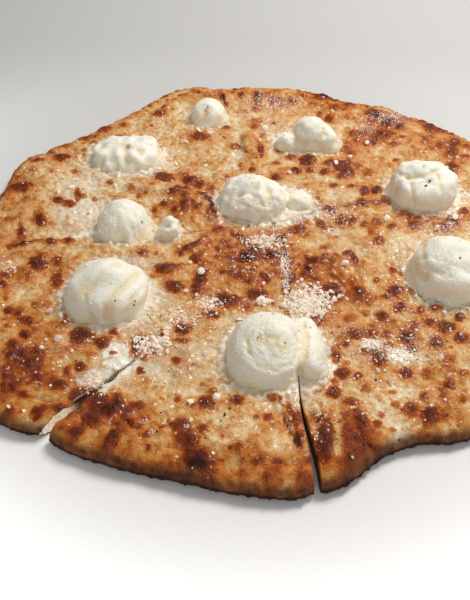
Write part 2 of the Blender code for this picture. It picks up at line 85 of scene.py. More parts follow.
# How fine the pieces are.
CHEESE_STEP = 0.76 * MM
HIDDEN_STEP = 7 * MM
RIM_STEP = 0.80 * MM
RIM_LAP = 0.028
WALL_STEP = 1.3 * MM
CRUST_LAYERS = 6
CHEESE_LAYERS = 2
CLOSED_UP = 0.33 * MM

DROP_FROM = 0.1
DOWN = Vector((0, 0, -1))
JUST_UNDER_1 = 0.99999


# -------- helpers

def blend(low, high, value):
    """0 below low, 1 above high, and an even curve between them."""
    share = np.clip((value - low) / (high - low), 0.0, 1.0)
    return share * share * (3 - 2 * share)


def bell(distance, width):
    """1 at no distance, and next to 0 beyond twice the width."""
    return np.exp(-((distance / width) ** 2))


def at_least(least, share):
    """A share from 0 to 1, squeezed to run from a least value to 1."""
    return least + (1 - least) * share


def grown(sizes, share):
    """The first of two sizes, with a share of the second one added."""
    return sizes[0] + sizes[1] * share


def sight(across, down):
    """The direction in which a pixel of the picture looks."""
    right = (across - IMAGE_WIDTH / 2) / FOCAL_PIXELS
    up = (IMAGE_HEIGHT / 2 - down) / FOCAL_PIXELS
    return (CAMERA_TURN.to_matrix() @ Vector((right, up, -1.0))).normalized()


def on_level(across, down, level):
    """The point at a height that a pixel looks at."""
    ray = sight(across, down)
    return CAMERA_PLACE + ray * ((level - CAMERA_PLACE.z) / ray.z)


def solid(name):
    """The mesh of one of the frame's nodes."""
    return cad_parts[name].data


def tree_of(meshes):
    """A search tree over some meshes."""
    points, faces = [], []
    for mesh in meshes:
        first = len(points)
        points += [vertex.co.copy() for vertex in mesh.vertices]
        faces += [[first + corner for corner in face.vertices] for face in mesh.polygons]
    return BVHTree.FromPolygons(points, faces)


NUMBERS = range(1, SLICES + 1)
FLAT_TOP = tree_of([solid(f"{layer}_{number}") for layer in ("crust", "cheese") for number in NUMBERS])
TYPICAL_HEIGHT = 12 * MM


def seen(across, down, tree=FLAT_TOP):
    """The point that a pixel shows, of the slices' solids or of what another tree holds."""
    return look_at(tree, across, down)[0] or on_level(across, down, TYPICAL_HEIGHT)


def drop_on(tree, x, y):
    """Where a plumb line from above meets what a tree holds: the point and its normal."""
    return tree.ray_cast(Vector((x, y, DROP_FROM)), DOWN)[:2]


def look_at(tree, across, down):
    """Where a pixel's line of sight meets what a tree holds: the point and its normal."""
    return tree.ray_cast(CAMERA_PLACE, sight(across, down))[:2]


WAVES = 28
WAVE_PACES = (0.75, 1.3)


def waves(points, length, seed):
    """Even random hills through space, of about one length and with a spread of 1."""
    draw = np.random.default_rng(seed)
    aim = draw.standard_normal((WAVES, 3))
    aim /= np.linalg.norm(aim, axis=1)[:, None]
    pace = math.tau / length * draw.uniform(*WAVE_PACES, WAVES)
    phase = draw.uniform(0, math.tau, WAVES)
    return math.sqrt(2 / WAVES) * np.cos(points @ (aim * pace[:, None]).T + phase).sum(1)


def cells(points, size, seed):
    """Distance to the nearest seed, where each cube of space of that size holds one seed."""
    home = np.floor(points / size)
    nearest = np.full(len(points), np.inf)
    for step in np.ndindex(3, 3, 3):
        cube = home + np.array(step) - 1
        place = cube + scattered(cube, seed)
        nearest = np.minimum(nearest, ((points / size - place) ** 2).sum(1))
    return np.sqrt(nearest)


# Uneven numbers that scatter a whole-numbered place to three shares that look random.
SCATTER_MIX = np.array(((127.1, 269.5, 419.2), (311.7, 183.3, 371.9), (74.7, 246.1, 168.2)))
SCATTER_SCALE = 43758.5453


def scattered(cube, seed):
    """Three even random shares for each whole-numbered place."""
    return np.modf(np.abs(np.sin(cube @ SCATTER_MIX + seed)) * SCATTER_SCALE)[0]


def line_distance(points, path):
    """Each point's distance to a line through some places."""
    nearest = np.full(len(points), np.inf)
    for start, end in zip(path, path[1:]):
        run = end - start
        share = np.clip(((points - start) @ run) / max(run @ run, 1e-12), 0, 1)
        nearest = np.minimum(nearest, np.linalg.norm(points - start - share[:, None] * run, axis=1))
    return nearest


def between(table, row, column):
    """A table's values at rows and columns that lie between whole ones."""
    i, j = row.astype(int), column.astype(int)
    down, right = row - i, column - j
    low = table[i, j] * (1 - right) + table[i, j + 1] * right
    high = table[i + 1, j] * (1 - right) + table[i + 1, j + 1] * right
    return low * (1 - down) + high * down


def add_object(name, data):
    """A new object in the scene."""
    obj = bpy.data.objects.new(name, data)
    bpy.context.scene.collection.objects.link(obj)
    return obj


def keep_mark(mesh, name, values):
    """Keeps a mark on the points of a mesh, for its material to read."""
    layer = mesh.attributes.new(name, "FLOAT", "POINT")
    layer.data.foreach_set("value", np.asarray(values).astype(np.float32))


# -------- charts

Spot = namedtuple("Spot", "x y ax ay bx by")
cell_middles = (np.arange(CHART_CELLS) + 0.5) * CELL - CHART_SIDE / 2
CHART_X, CHART_Y = np.meshgrid(cell_middles, cell_middles)
CHART_SHAPE = (CHART_CELLS, CHART_CELLS)
# Waves per metre of each term that a chart is split into.
CHART_PACES = np.hypot(*np.meshgrid(np.fft.rfftfreq(CHART_CELLS, CELL), np.fft.fftfreq(CHART_CELLS, CELL)))
STILL = 1e-6
NOISE_SPREAD = 0.45
LAST_CELL = CHART_CELLS - 1.001


def keep_waves(chart, kept):
    """The chart with a share of each of its waves kept."""
    return np.fft.irfft2(np.fft.rfft2(chart) * kept, CHART_SHAPE)


def chart_noise(length, seed):
    """Even random hills of about one length over the chart, with a spread of 1."""
    rough = np.random.default_rng(seed).standard_normal(CHART_SHAPE)
    pace = np.maximum(CHART_PACES, STILL)
    hills = keep_waves(rough, np.exp(-np.log(pace * length) ** 2 / (2 * NOISE_SPREAD * NOISE_SPREAD)))
    return hills / hills.std()


def chart_blur(chart, radius):
    """The chart, softened over a radius."""
    return keep_waves(chart, np.exp(-2 * (math.pi * radius * CHART_PACES) ** 2))


def read_chart(chart, x, y):
    """The chart's values at some plan points, evenly between its cells."""
    column = np.clip(x / CELL + CHART_CELLS / 2 - 0.5, 0, LAST_CELL)
    row = np.clip(y / CELL + CHART_CELLS / 2 - 0.5, 0, LAST_CELL)
    return between(chart, row, column)


def window(x, y, reach):
    """The chart's rows and columns up to a reach round a place."""
    column = int(x / CELL + CHART_CELLS / 2)
    row = int(y / CELL + CHART_CELLS / 2)
    margin = int(reach / CELL) + 1
    rows = slice(max(row - margin, 0), max(row + margin + 1, 0))
    return rows, slice(max(column - margin, 0), max(column + margin + 1, 0))


def round_spot(x, y, radius, stretch, turn):
    """A round or oval spot given by its real size."""
    long, short = radius * stretch, radius / stretch
    cos, sin = math.cos(turn), math.sin(turn)
    return Spot(x, y, long * cos, long * sin, -short * sin, short * cos)


def picture_spot(across, down, width, height):
    """An oval read off the picture, laid down on the pizza."""
    middle = seen(across, down)
    right = on_level(across + width / 2, down, middle.z) - on_level(across, down, middle.z)
    near = on_level(across, down + height / 2, middle.z) - on_level(across, down, middle.z)
    return Spot(middle.x, middle.y, right.x, right.y, near.x, near.y)


def picture_streak(start_across, start_down, end_across, end_down, width):
    """A long oval read off the picture by its two ends and its width."""
    start, end = seen(start_across, start_down), seen(end_across, end_down)
    middle = (start + end) / 2
    half = (end - start) / 2
    pixel = (middle - CAMERA_PLACE).length / FOCAL_PIXELS
    side = Vector((-half.y, half.x)).normalized() * (width / 2 * pixel)
    return Spot(middle.x, middle.y, half.x, half.y, side.x, side.y)


def spot_reach(spot):
    return max(math.hypot(spot.ax, spot.ay), math.hypot(spot.bx, spot.by))


def spot_area(spot):
    return spot.ax * spot.by - spot.ay * spot.bx


def cells_round(spot, reach):
    """The chart's cells up to a reach round a spot, and their distance in the spot's half sizes."""
    here = window(spot.x, spot.y, reach)
    right, up = CHART_X[here] - spot.x, CHART_Y[here] - spot.y
    along = (right * spot.by - up * spot.bx) / spot_area(spot)
    across = (up * spot.ax - right * spot.ay) / spot_area(spot)
    return here, np.hypot(along, across)


def raise_to(chart, here, values):
    """Raises some cells of a chart to these values where they are lower."""
    chart[here] = np.maximum(chart[here], values)


# -------- outlines of the slices

WELD = 0.01 * MM
UP_FACING = 0.2
RIM_LEVEL = 0.05 * MM
ON_A_CUT = 0.6 * MM
NEAR_TIP = 60 * MM
LINE_POINTS = 400
CUT_BRIDGES = {5: 0.3 * MM, 6: 1.75 * MM}
BRIDGE_ENDS = (0.66, 0.86)
INSIDE_TIP = 0.02
INSIDE_CUT = 0.012
CREST_SHARE = 0.38
DOUGH_ROWS = 97
DOUGH_COLUMNS = 49
DOUGH_SOFTENING = 9


def plan_loop(name):
    """The outline of a node's upper side, anticlockwise from where the cuts meet: the longest
    edge round its top faces."""
    mesh = solid(name)
    places = np.array([vertex.co for vertex in mesh.vertices])
    _, first, same = np.unique(np.round(places / WELD).astype(int), axis=0, return_index=True,
                               return_inverse=True)
    same = same.ravel()
    follow = {}
    for face in mesh.polygons:
        if face.normal.z > UP_FACING:
            ring = [int(same[corner]) for corner in face.vertices]
            for start, end in zip(ring, ring[1:] + ring[:1]):
                if follow.get(end, {}).pop(start, None) is None:
                    follow.setdefault(start, {})[end] = True
    follow = {start: list(ends)[0] for start, ends in follow.items() if ends}
    longest = []
    while follow:
        start = next(iter(follow))
        ring = [start]
        while ring[-1] in follow:
            ring.append(follow.pop(ring[-1]))
        longest = max(longest, ring[:-1], key=len)
    loop = places[first[longest]]
    return np.roll(loop, -np.argmin(((loop[:, :2] - CUTS_MEET) ** 2).sum(1)), axis=0)


def closing(cut):
    """How far a slice's side reaches into the cut, from the middle outwards: the cheese all but
    bridges cut 6, and near the rim both open cuts gape as the solids do."""
    share = np.linspace(0, 1, LINE_POINTS)
    return (CLOSED_UP + CUT_BRIDGES.get(cut, 0.0) * share * (1 - blend(*BRIDGE_ENDS, share)))[:, None]


class Line:
    """A smooth line in plan through some points, read by its share of the length."""

    def __init__(self, points, outset=0.0):
        points = np.asarray(points)[:, :2]
        gaps = np.linalg.norm(np.diff(points, axis=0), axis=1)
        knots = np.concatenate([[0], np.cumsum(gaps)])
        slopes = np.gradient(points, knots, axis=0)
        where = np.linspace(0, knots[-1], LINE_POINTS)
        piece = np.clip(np.searchsorted(knots, where, side="right") - 1, 0, len(points) - 2)
        width = gaps[piece][:, None]
        share = ((where - knots[piece]) / gaps[piece])[:, None]
        start = points[piece] * (1 + 2 * share) * (1 - share) ** 2
        start += slopes[piece] * width * share * (1 - share) ** 2
        end = points[piece + 1] * share ** 2 * (3 - 2 * share)
        end -= slopes[piece + 1] * width * share ** 2 * (1 - share)
        self.points = start + end
        ahead = np.gradient(self.points, axis=0)
        ahead /= np.linalg.norm(ahead, axis=1)[:, None]
        self.points = self.points + outset * np.column_stack([-ahead[:, 1], ahead[:, 0]])
        steps = np.linalg.norm(np.diff(self.points, axis=0), axis=1)
        self.along = np.concatenate([[0], np.cumsum(steps)])
        self.low, self.high = 0.0, 1.0

    def __call__(self, share):
        run = (self.low + (self.high - self.low) * np.asarray(share)) * self.along[-1]
        x = np.interp(run, self.along, self.points[:, 0])
        y = np.interp(run, self.along, self.points[:, 1])
        return np.stack([x, y], -1)

    def length(self):
        return (self.high - self.low) * self.along[-1]

    def share_of(self, point):
        """The share of the whole length at which the line passes a point."""
        nearest = np.argmin(((self.points - point[:2]) ** 2).sum(1))
        return self.along[nearest] / self.along[-1]

    def part(self, low, high):
        """The stretch of the line between two shares."""
        stretch = object.__new__(Line)
        stretch.points, stretch.along = self.points, self.along
        stretch.low, stretch.high = low, high
        return stretch


def patch(out, t, near, far, left, right):
    """Plan points between four lines: near and far run across, left and right outwards."""
    out, t = out[:, None], t[:, None]
    across = (1 - out) * near(t[:, 0]) + out * far(t[:, 0])
    outward = (1 - t) * left(out[:, 0]) + t * right(out[:, 0])
    corners = (1 - out) * ((1 - t) * near(0.0) + t * near(1.0))
    corners = corners + out * ((1 - t) * far(0.0) + t * far(1.0))
    return across + outward - corners


class Slice:
    """One slice's plan and its dough's height. A place on it is given by out, which is 0
    at the tip, 1 at the cheese's border and 2 at the rim, and by t, from cut to cut."""

    def __init__(self, number):
        self.number = number
        self.tree = tree_of([solid(f"crust_{number}")])
        loop = plan_loop(f"crust_{number}")
        self.edge_top = loop[:, 2].min()
        rim = np.flatnonzero(loop[:, 2] < self.edge_top + RIM_LEVEL)
        right = loop[:rim[0] + 1]
        left = np.vstack([loop[rim[-1]:], loop[:1]])[::-1]
        self.rim = Line(loop[rim[0]:rim[-1] + 1][::-1])
        right_side = Line(right, -closing(number % SLICES + 1))
        left_side = Line(left, closing(number))
        border = self.find_border(Line(right), Line(left))
        right_split = right_side.share_of(border[-1])
        left_split = left_side.share_of(border[0])
        self.border = Line(border)
        self.right_inner = right_side.part(0, right_split)
        self.right_outer = right_side.part(right_split, 1)
        self.left_inner = left_side.part(0, left_split)
        self.left_outer = left_side.part(left_split, 1)
        self.tip = (self.left_inner(0.0) + self.right_inner(0.0)) / 2
        self.length = max(self.left_inner.length(), self.right_inner.length())
        self.measure_dough()

    def find_border(self, right, left):
        """The cheese's outer edge, from the left cut to the right one."""
        loop = plan_loop(f"cheese_{self.number}")
        on_cut = np.linalg.norm(loop[:, :2] - CUTS_MEET, axis=1) < NEAR_TIP
        for side in (right, left):
            apart = np.linalg.norm(loop[:, None, :2] - side.points[None], axis=2).min(1)
            on_cut |= apart < ON_A_CUT
        off = np.flatnonzero(~on_cut)
        return loop[off[0] - 1:off[-1] + 2][::-1]

    def plan(self, out, t):
        inner = patch(np.minimum(out, 1.0), t, self.at_tip, self.border,
                      self.left_inner, self.right_inner)
        outer = patch(np.clip(out - 1, 0.0, 1.0), t, self.border, self.rim,
                      self.left_outer, self.right_outer)
        return np.where((out <= 1)[:, None], inner, outer)

    def at_tip(self, t):
        return np.broadcast_to(self.tip, np.shape(t) + (2,))

    def bare_width(self, t):
        """The width of bare rim outside the cheese."""
        return np.linalg.norm(self.rim(t) - self.border(t), axis=-1)

    def measure_dough(self):
        """The dough's height over the slice, with the solid's facets smoothed away."""
        out = np.linspace(INSIDE_TIP, 1 + CREST_SHARE, DOUGH_ROWS)
        t = np.linspace(INSIDE_CUT, 1 - INSIDE_CUT, DOUGH_COLUMNS)
        out_grid, t_grid = (grid.ravel() for grid in np.meshgrid(out, t, indexing="ij"))
        heights = [self.drop_to_dough(x, y) for x, y in self.plan(out_grid, t_grid)]
        table = np.array(heights).reshape(DOUGH_ROWS, DOUGH_COLUMNS)
        for _ in range(DOUGH_SOFTENING):
            table = soften(soften(table).T).T
        self.dough_table = table

    def drop_to_dough(self, x, y):
        hit = drop_on(self.tree, x, y)[0]
        return hit.z if hit else self.tree.find_nearest(Vector((x, y, TYPICAL_HEIGHT)))[0].z

    def dough_top(self, out, t):
        """The dough's height, which comes down round the shoulder at the rim."""
        row = np.clip((out - INSIDE_TIP) / (1 + CREST_SHARE - INSIDE_TIP), 0, JUST_UNDER_1)
        column = np.clip((t - INSIDE_CUT) / (1 - 2 * INSIDE_CUT), 0, JUST_UNDER_1)
        height = between(self.dough_table, row * (DOUGH_ROWS - 1), column * (DOUGH_COLUMNS - 1))
        short = 1 - np.clip(self.inside(out, t) / SHOULDER, 0, 1)
        return self.edge_top + (height - self.edge_top) * np.sqrt(1 - short * short)

    def inside(self, out, t):
        """How far inside the rim a place lies; inside the cheese it is only a lower bound."""
        return np.clip(2 - out, 0, 1) * self.bare_width(t) + np.clip(1 - out, 0, 1) * self.length

    def width(self, out):
        """The slice's width from cut to cut."""
        chord = np.linalg.norm(self.border(1.0) - self.border(0.0))
        return np.clip(out, 0, 1) * chord

    def from_cut(self, out, t):
        """Distance to the nearer cut."""
        return np.minimum(t, 1 - t) * self.width(out)


def soften(table):
    """One round of smoothing down the columns of a table."""
    padded = np.pad(table, ((1, 1), (0, 0)), mode="edge")
    return (padded[:-2] + 2 * table + padded[2:]) / 4


# -------- what was read off the picture

# Blisters: across, down, width and height in pixels, and how dark, in percent of charred.
BLISTERS = (
    # back left
    (62, 157, 15, 7, 95), (38, 159, 12, 4, 80), (75, 171, 6, 4, 50), (52, 172, 4, 3, 40),
    (20, 187, 23, 8, 90), (58, 200, 10, 6, 85), (69, 203, 11, 7, 80), (78, 194, 6, 10, 60),
    (41, 220, 10, 9, 85), (22, 234, 8, 14, 75), (52, 242, 9, 6, 80), (69, 241, 10, 4, 70),
    (38, 264, 17, 11, 95), (57, 261, 10, 8, 70), (57, 281, 11, 14, 80), (61, 273, 8, 9, 45),
    (3, 284, 8, 8, 90), (108, 169, 9, 8, 70), (129, 172, 5, 6, 45), (98, 149, 7, 4, 50),
    (93, 143, 8, 3, 55), (85, 152, 5, 4, 50), (122, 138, 7, 4, 55), (104, 129, 14, 7, 75),
    (86, 136, 8, 4, 70), (96, 135, 5, 3, 50), (165, 177, 18, 9, 85), (190, 180, 13, 9, 95),
    (200, 184, 9, 8, 80), (211, 188, 8, 5, 60), (174, 192, 8, 6, 70), (185, 206, 9, 9, 90),
    (175, 211, 7, 6, 85), (164, 204, 9, 6, 75), (155, 211, 6, 8, 60), (214, 209, 8, 9, 75),
    (143, 253, 9, 6, 70), (165, 268, 17, 10, 90), (196, 258, 11, 9, 85), (182, 264, 5, 5, 50),
    (175, 286, 17, 11, 95), (153, 276, 8, 5, 50), (227, 300, 25, 12, 95), (84, 196, 6, 4, 40),
    (95, 199, 5, 4, 40), (139, 195, 5, 5, 50), (132, 188, 7, 5, 40), (110, 183, 6, 4, 50),
    (9, 219, 8, 5, 50), (200, 136, 18, 7, 80), (159, 113, 13, 5, 70), (40, 215, 13, 12, 30),
    # back right
    (258, 97, 8, 12, 85), (242, 95, 7, 6, 70), (273, 100, 7, 8, 70), (255, 108, 5, 4, 70),
    (255, 126, 8, 5, 55), (238, 144, 5, 5, 70), (261, 150, 6, 10, 80), (278, 149, 4, 5, 50),
    (291, 157, 9, 4, 75), (308, 160, 14, 10, 95), (276, 163, 8, 3, 60), (252, 169, 6, 5, 85),
    (296, 170, 10, 6, 85), (310, 170, 7, 5, 60), (276, 177, 10, 6, 80), (241, 169, 5, 3, 50),
    (320, 114, 5, 4, 60), (329, 119, 9, 6, 70), (334, 107, 11, 6, 65), (348, 105, 10, 4, 70),
    (311, 104, 6, 3, 50), (322, 96, 20, 4, 70), (374, 113, 15, 8, 80), (372, 121, 14, 8, 60),
    (361, 133, 20, 6, 65), (384, 134, 22, 9, 75), (391, 120, 12, 11, 85), (400, 126, 7, 5, 90),
    (404, 117, 10, 4, 70), (424, 118, 11, 4, 80), (430, 127, 10, 9, 95), (443, 127, 12, 6, 85),
    (456, 140, 9, 7, 90), (453, 151, 11, 9, 65), (441, 145, 10, 6, 60), (424, 142, 8, 4, 50),
    (403, 136, 6, 3, 60), (394, 144, 8, 5, 60), (371, 143, 13, 5, 85), (346, 147, 13, 13, 55),
    (357, 140, 10, 6, 60), (351, 153, 9, 6, 65), (452, 167, 12, 10, 90), (466, 156, 8, 4, 70),
    (377, 190, 10, 9, 100), (365, 191, 9, 12, 85), (351, 186, 8, 4, 70), (334, 185, 8, 4, 75),
    (329, 162, 11, 6, 80), (343, 166, 17, 10, 85), (349, 171, 10, 7, 85), (325, 171, 10, 5, 70),
    (342, 176, 9, 5, 75), (359, 165, 7, 5, 55), (368, 173, 9, 6, 50), (388, 199, 13, 7, 85),
    (362, 202, 10, 5, 80), (331, 210, 11, 5, 85), (317, 202, 10, 9, 90), (300, 220, 16, 7, 90),
    (299, 229, 14, 9, 80), (328, 228, 11, 5, 70), (342, 220, 10, 9, 75), (352, 220, 8, 9, 80),
    (365, 224, 8, 5, 65), (377, 222, 10, 5, 65), (372, 231, 7, 8, 50), (379, 240, 11, 10, 65),
    (392, 226, 9, 6, 70), (414, 225, 12, 8, 80), (411, 212, 16, 7, 80), (434, 214, 14, 10, 85),
    (443, 226, 14, 9, 70), (453, 219, 14, 9, 75), (464, 211, 10, 8, 75), (250, 256, 20, 10, 100),
    (238, 260, 8, 5, 80), (273, 255, 8, 4, 60), (266, 278, 9, 8, 70), (258, 295, 19, 11, 95),
    (291, 277, 10, 10, 90), (291, 260, 6, 8, 70), (313, 260, 15, 7, 80), (309, 272, 18, 11, 45),
    (333, 264, 9, 7, 60), (331, 291, 17, 13, 100), (357, 291, 14, 14, 60), (340, 275, 6, 6, 45),
    (377, 280, 6, 5, 55), (395, 290, 14, 10, 95), (386, 296, 10, 5, 75), (416, 290, 14, 8, 95),
    (402, 273, 6, 5, 50), (337, 237, 5, 4, 45), (285, 288, 8, 8, 80), (320, 281, 7, 5, 35),
    # front left
    (82, 336, 22, 15, 100), (102, 342, 13, 11, 85), (116, 324, 12, 8, 70), (114, 331, 9, 9, 85),
    (140, 341, 14, 12, 90), (183, 328, 15, 10, 100), (182, 340, 14, 5, 70), (177, 360, 9, 7, 70),
    (141, 371, 8, 7, 85), (80, 366, 11, 9, 85), (68, 371, 9, 13, 60), (31, 363, 23, 19, 95),
    (23, 354, 10, 8, 85), (13, 346, 10, 14, 95), (25, 334, 11, 9, 95), (27, 320, 15, 8, 80),
    (9, 311, 10, 8, 85), (18, 313, 8, 6, 70), (36, 304, 9, 7, 55), (7, 327, 6, 4, 50), (67, 317, 6, 10, 75),
    (59, 385, 17, 13, 90), (37, 377, 12, 9, 85), (53, 379, 8, 9, 70), (24, 395, 12, 6, 80),
    (37, 413, 13, 11, 85), (44, 408, 9, 7, 75), (5, 388, 10, 14, 75), (14, 390, 8, 6, 80),
    (20, 382, 8, 5, 65), (6, 376, 8, 10, 70), (12, 358, 6, 8, 60), (98, 402, 27, 17, 95),
    (80, 400, 17, 16, 85), (115, 409, 16, 12, 85), (92, 417, 20, 12, 90), (118, 399, 11, 9, 75),
    (64, 415, 11, 8, 75), (57, 408, 10, 5, 80), (136, 405, 18, 11, 75), (130, 412, 10, 8, 70),
    (145, 416, 12, 9, 45), (148, 448, 5, 6, 75), (119, 423, 12, 4, 70), (206, 402, 15, 14, 95),
    (193, 403, 8, 7, 50), (178, 399, 6, 6, 60), (212, 391, 10, 7, 45), (237, 400, 12, 9, 85),
    (180, 425, 18, 15, 80), (188, 438, 20, 17, 90), (203, 428, 12, 9, 65), (197, 459, 17, 17, 70),
    (194, 476, 16, 13, 85), (223, 458, 5, 4, 55), (230, 448, 6, 6, 50), (213, 314, 13, 8, 90),
    (86, 389, 9, 6, 70), (113, 352, 7, 4, 40), (91, 353, 12, 7, 35), (60, 428, 6, 3, 40),
    (107, 452, 9, 8, 95), (203, 384, 6, 5, 30), (162, 398, 5, 4, 30),
    # front right
    (382, 316, 12, 9, 90), (400, 307, 11, 9, 70), (437, 307, 12, 8, 85), (316, 313, 9, 7, 85),
    (460, 317, 9, 8, 85), (430, 322, 10, 7, 85), (447, 326, 16, 12, 95), (421, 310, 8, 7, 70),
    (414, 324, 10, 7, 70), (461, 337, 14, 11, 85), (437, 342, 12, 12, 75), (407, 337, 14, 11, 95),
    (412, 347, 12, 8, 75), (387, 334, 9, 8, 70), (371, 333, 14, 8, 75), (355, 335, 16, 8, 80),
    (346, 344, 8, 7, 70), (380, 358, 13, 18, 90), (371, 351, 18, 7, 80), (389, 344, 8, 6, 70),
    (406, 373, 12, 11, 80), (428, 373, 12, 10, 55), (448, 385, 11, 9, 80), (424, 397, 8, 7, 70),
    (443, 396, 7, 6, 70), (411, 409, 16, 13, 65), (430, 415, 18, 16, 90), (444, 416, 9, 6, 70),
    (377, 424, 9, 8, 75), (382, 413, 6, 5, 50), (336, 356, 10, 11, 80), (342, 373, 13, 10, 85),
    (358, 375, 9, 7, 75), (316, 370, 9, 16, 50), (334, 381, 6, 4, 50), (320, 354, 6, 5, 40),
    (334, 391, 14, 10, 85), (351, 401, 12, 9, 65), (306, 374, 4, 8, 80), (325, 440, 15, 40, 100),
    (297, 418, 15, 13, 75), (299, 438, 8, 20, 85), (290, 389, 12, 7, 60), (275, 396, 13, 10, 90),
    (268, 417, 10, 9, 70), (279, 460, 7, 7, 80), (235, 378, 8, 6, 35), (263, 392, 5, 4, 40),
    (368, 300, 12, 8, 50), (350, 318, 12, 8, 50), (394, 322, 8, 6, 50), (366, 312, 8, 6, 45),
    (452, 358, 8, 7, 50), (464, 372, 10, 8, 50), (366, 388, 10, 8, 35), (392, 392, 8, 6, 35),
    (396, 404, 9, 7, 40), (462, 398, 9, 7, 50), (340, 420, 6, 5, 40), (392, 430, 9, 4, 30),
)
# Long blisters: the two ends and the width in pixels, and how dark in percent.
STREAKS = (
    (181, 252, 202, 239, 7, 100), (205, 268, 195, 294, 12, 95), (14, 247, 30, 242, 4, 75),
    (201, 193, 213, 195, 4, 70), (344, 254, 351, 250, 6, 90), (351, 250, 357, 264, 6, 95),
    (118, 427, 107, 452, 13, 95), (83, 426, 72, 444, 10, 85), (346, 412, 352, 470, 13, 70),
    (356, 410, 366, 434, 14, 80), (366, 434, 360, 456, 15, 85), (358, 452, 348, 470, 14, 90),
    (186, 448, 197, 464, 12, 80), (116, 392, 124, 408, 7, 70), (300, 92, 345, 102, 3, 70),
    (45, 325, 52, 340, 3, 40), (6, 352, 14, 372, 4, 50), (288, 403, 297, 424, 8, 60),
)
# Where the whole surface is browner, or paler where the amount is below 0: middle, width and
# height in pixels, and the amount in percent. Pools and veils are given in the same way.
TONES = (
    (40, 165, 50, 20, -4), (14, 210, 34, 60, 6), (70, 185, 50, 20, -14), (95, 180, 44, 22, -16),
    (95, 215, 30, 40, -16), (45, 232, 40, 14, -8), (125, 240, 60, 14, -14), (145, 160, 50, 40, -4),
    (190, 205, 50, 34, 4), (215, 208, 30, 40, 20), (170, 120, 50, 30, -6), (130, 110, 60, 14, 10),
    (205, 95, 50, 12, 16), (238, 145, 16, 50, 2), (258, 130, 34, 36, 8), (300, 100, 90, 16, 12),
    (325, 140, 50, 34, -12), (385, 130, 80, 36, 8), (440, 145, 50, 40, 12), (385, 165, 60, 24, 4),
    (350, 165, 60, 30, 6), (322, 178, 50, 14, -14), (345, 195, 50, 16, -12), (305, 184, 36, 18, 16),
    (292, 218, 44, 14, 20), (420, 215, 90, 24, 14), (400, 240, 40, 24, -10), (330, 240, 60, 18, -5),
    (250, 250, 90, 50, 16), (245, 275, 60, 50, 10), (320, 265, 50, 30, 14), (330, 310, 44, 50, 18),
    (290, 255, 20, 60, 10), (375, 270, 50, 44, -2), (150, 300, 60, 40, -2), (165, 250, 50, 20, -4),
    (100, 345, 60, 30, -6), (120, 365, 60, 34, -4), (145, 350, 50, 24, 18), (40, 340, 60, 70, 10),
    (40, 425, 50, 24, -16), (20, 370, 50, 40, 16), (15, 270, 34, 60, 10), (65, 298, 34, 40, 16),
    (190, 350, 60, 40, -2), (170, 375, 70, 40, -5), (230, 388, 70, 24, -16), (215, 420, 60, 30, -6),
    (95, 415, 80, 40, 14), (200, 470, 220, 34, 10), (288, 420, 20, 44, -16), (280, 450, 60, 60, 2),
    (255, 430, 50, 40, -2), (330, 350, 40, 60, 4), (400, 330, 100, 60, 6), (430, 380, 90, 70, 3),
    (325, 365, 30, 40, 14), (375, 345, 40, 14, -14), (405, 357, 36, 12, -12), (400, 410, 70, 60, -19),
    (395, 440, 70, 24, -5), (420, 275, 70, 40, 8), (280, 350, 60, 60, 5), (250, 235, 120, 50, 7),
    (420, 265, 90, 40, 5), (140, 262, 60, 60, 5), (240, 262, 60, 50, 5), (350, 255, 60, 60, 5),
    (340, 180, 50, 36, 4), (170, 270, 60, 40, 5), (390, 412, 80, 40, -4), (182, 365, 50, 50, 6),
    (235, 395, 60, 50, 6), (190, 466, 230, 26, 10), (430, 425, 60, 50, 2),
)
# Milky pools, where the cheese melted and stayed white.
POOLS = (
    (120, 362, 36, 18, 85), (115, 350, 28, 18, 90), (182, 362, 60, 40, 30), (352, 245, 60, 24, 25),
    (372, 343, 20, 10, 80), (400, 353, 34, 12, 80), (331, 368, 16, 22, 70), (150, 368, 30, 24, 50),
    (100, 374, 40, 14, 60), (84, 382, 20, 12, 50), (115, 300, 90, 60, 30), (125, 235, 50, 14, 50),
    (92, 222, 24, 24, 40), (75, 182, 40, 12, 35), (238, 150, 12, 40, 40), (190, 350, 50, 26, 40),
    (170, 372, 60, 26, 35), (240, 386, 56, 10, 50), (205, 375, 30, 20, 30), (375, 345, 26, 12, 55),
    (405, 358, 40, 14, 50), (330, 367, 14, 16, 60), (398, 250, 24, 40, 40), (330, 232, 30, 12, 35),
    (300, 305, 34, 14, 50), (322, 168, 30, 10, 30), (112, 165, 60, 12, 40), (170, 232, 40, 14, 35),
    (345, 193, 36, 12, 35), (440, 232, 40, 14, 30), (295, 404, 10, 10, 40), (82, 208, 60, 46, 55),
    (125, 172, 60, 16, 55), (150, 236, 44, 14, 60), (130, 262, 70, 14, 50), (160, 300, 40, 30, 45),
    (270, 128, 30, 20, 40), (355, 250, 60, 16, 35), (310, 345, 20, 40, 40), (140, 330, 50, 14, 40),
    (150, 262, 30, 14, 30), (240, 222, 60, 12, 35), (265, 300, 60, 12, 30),
)
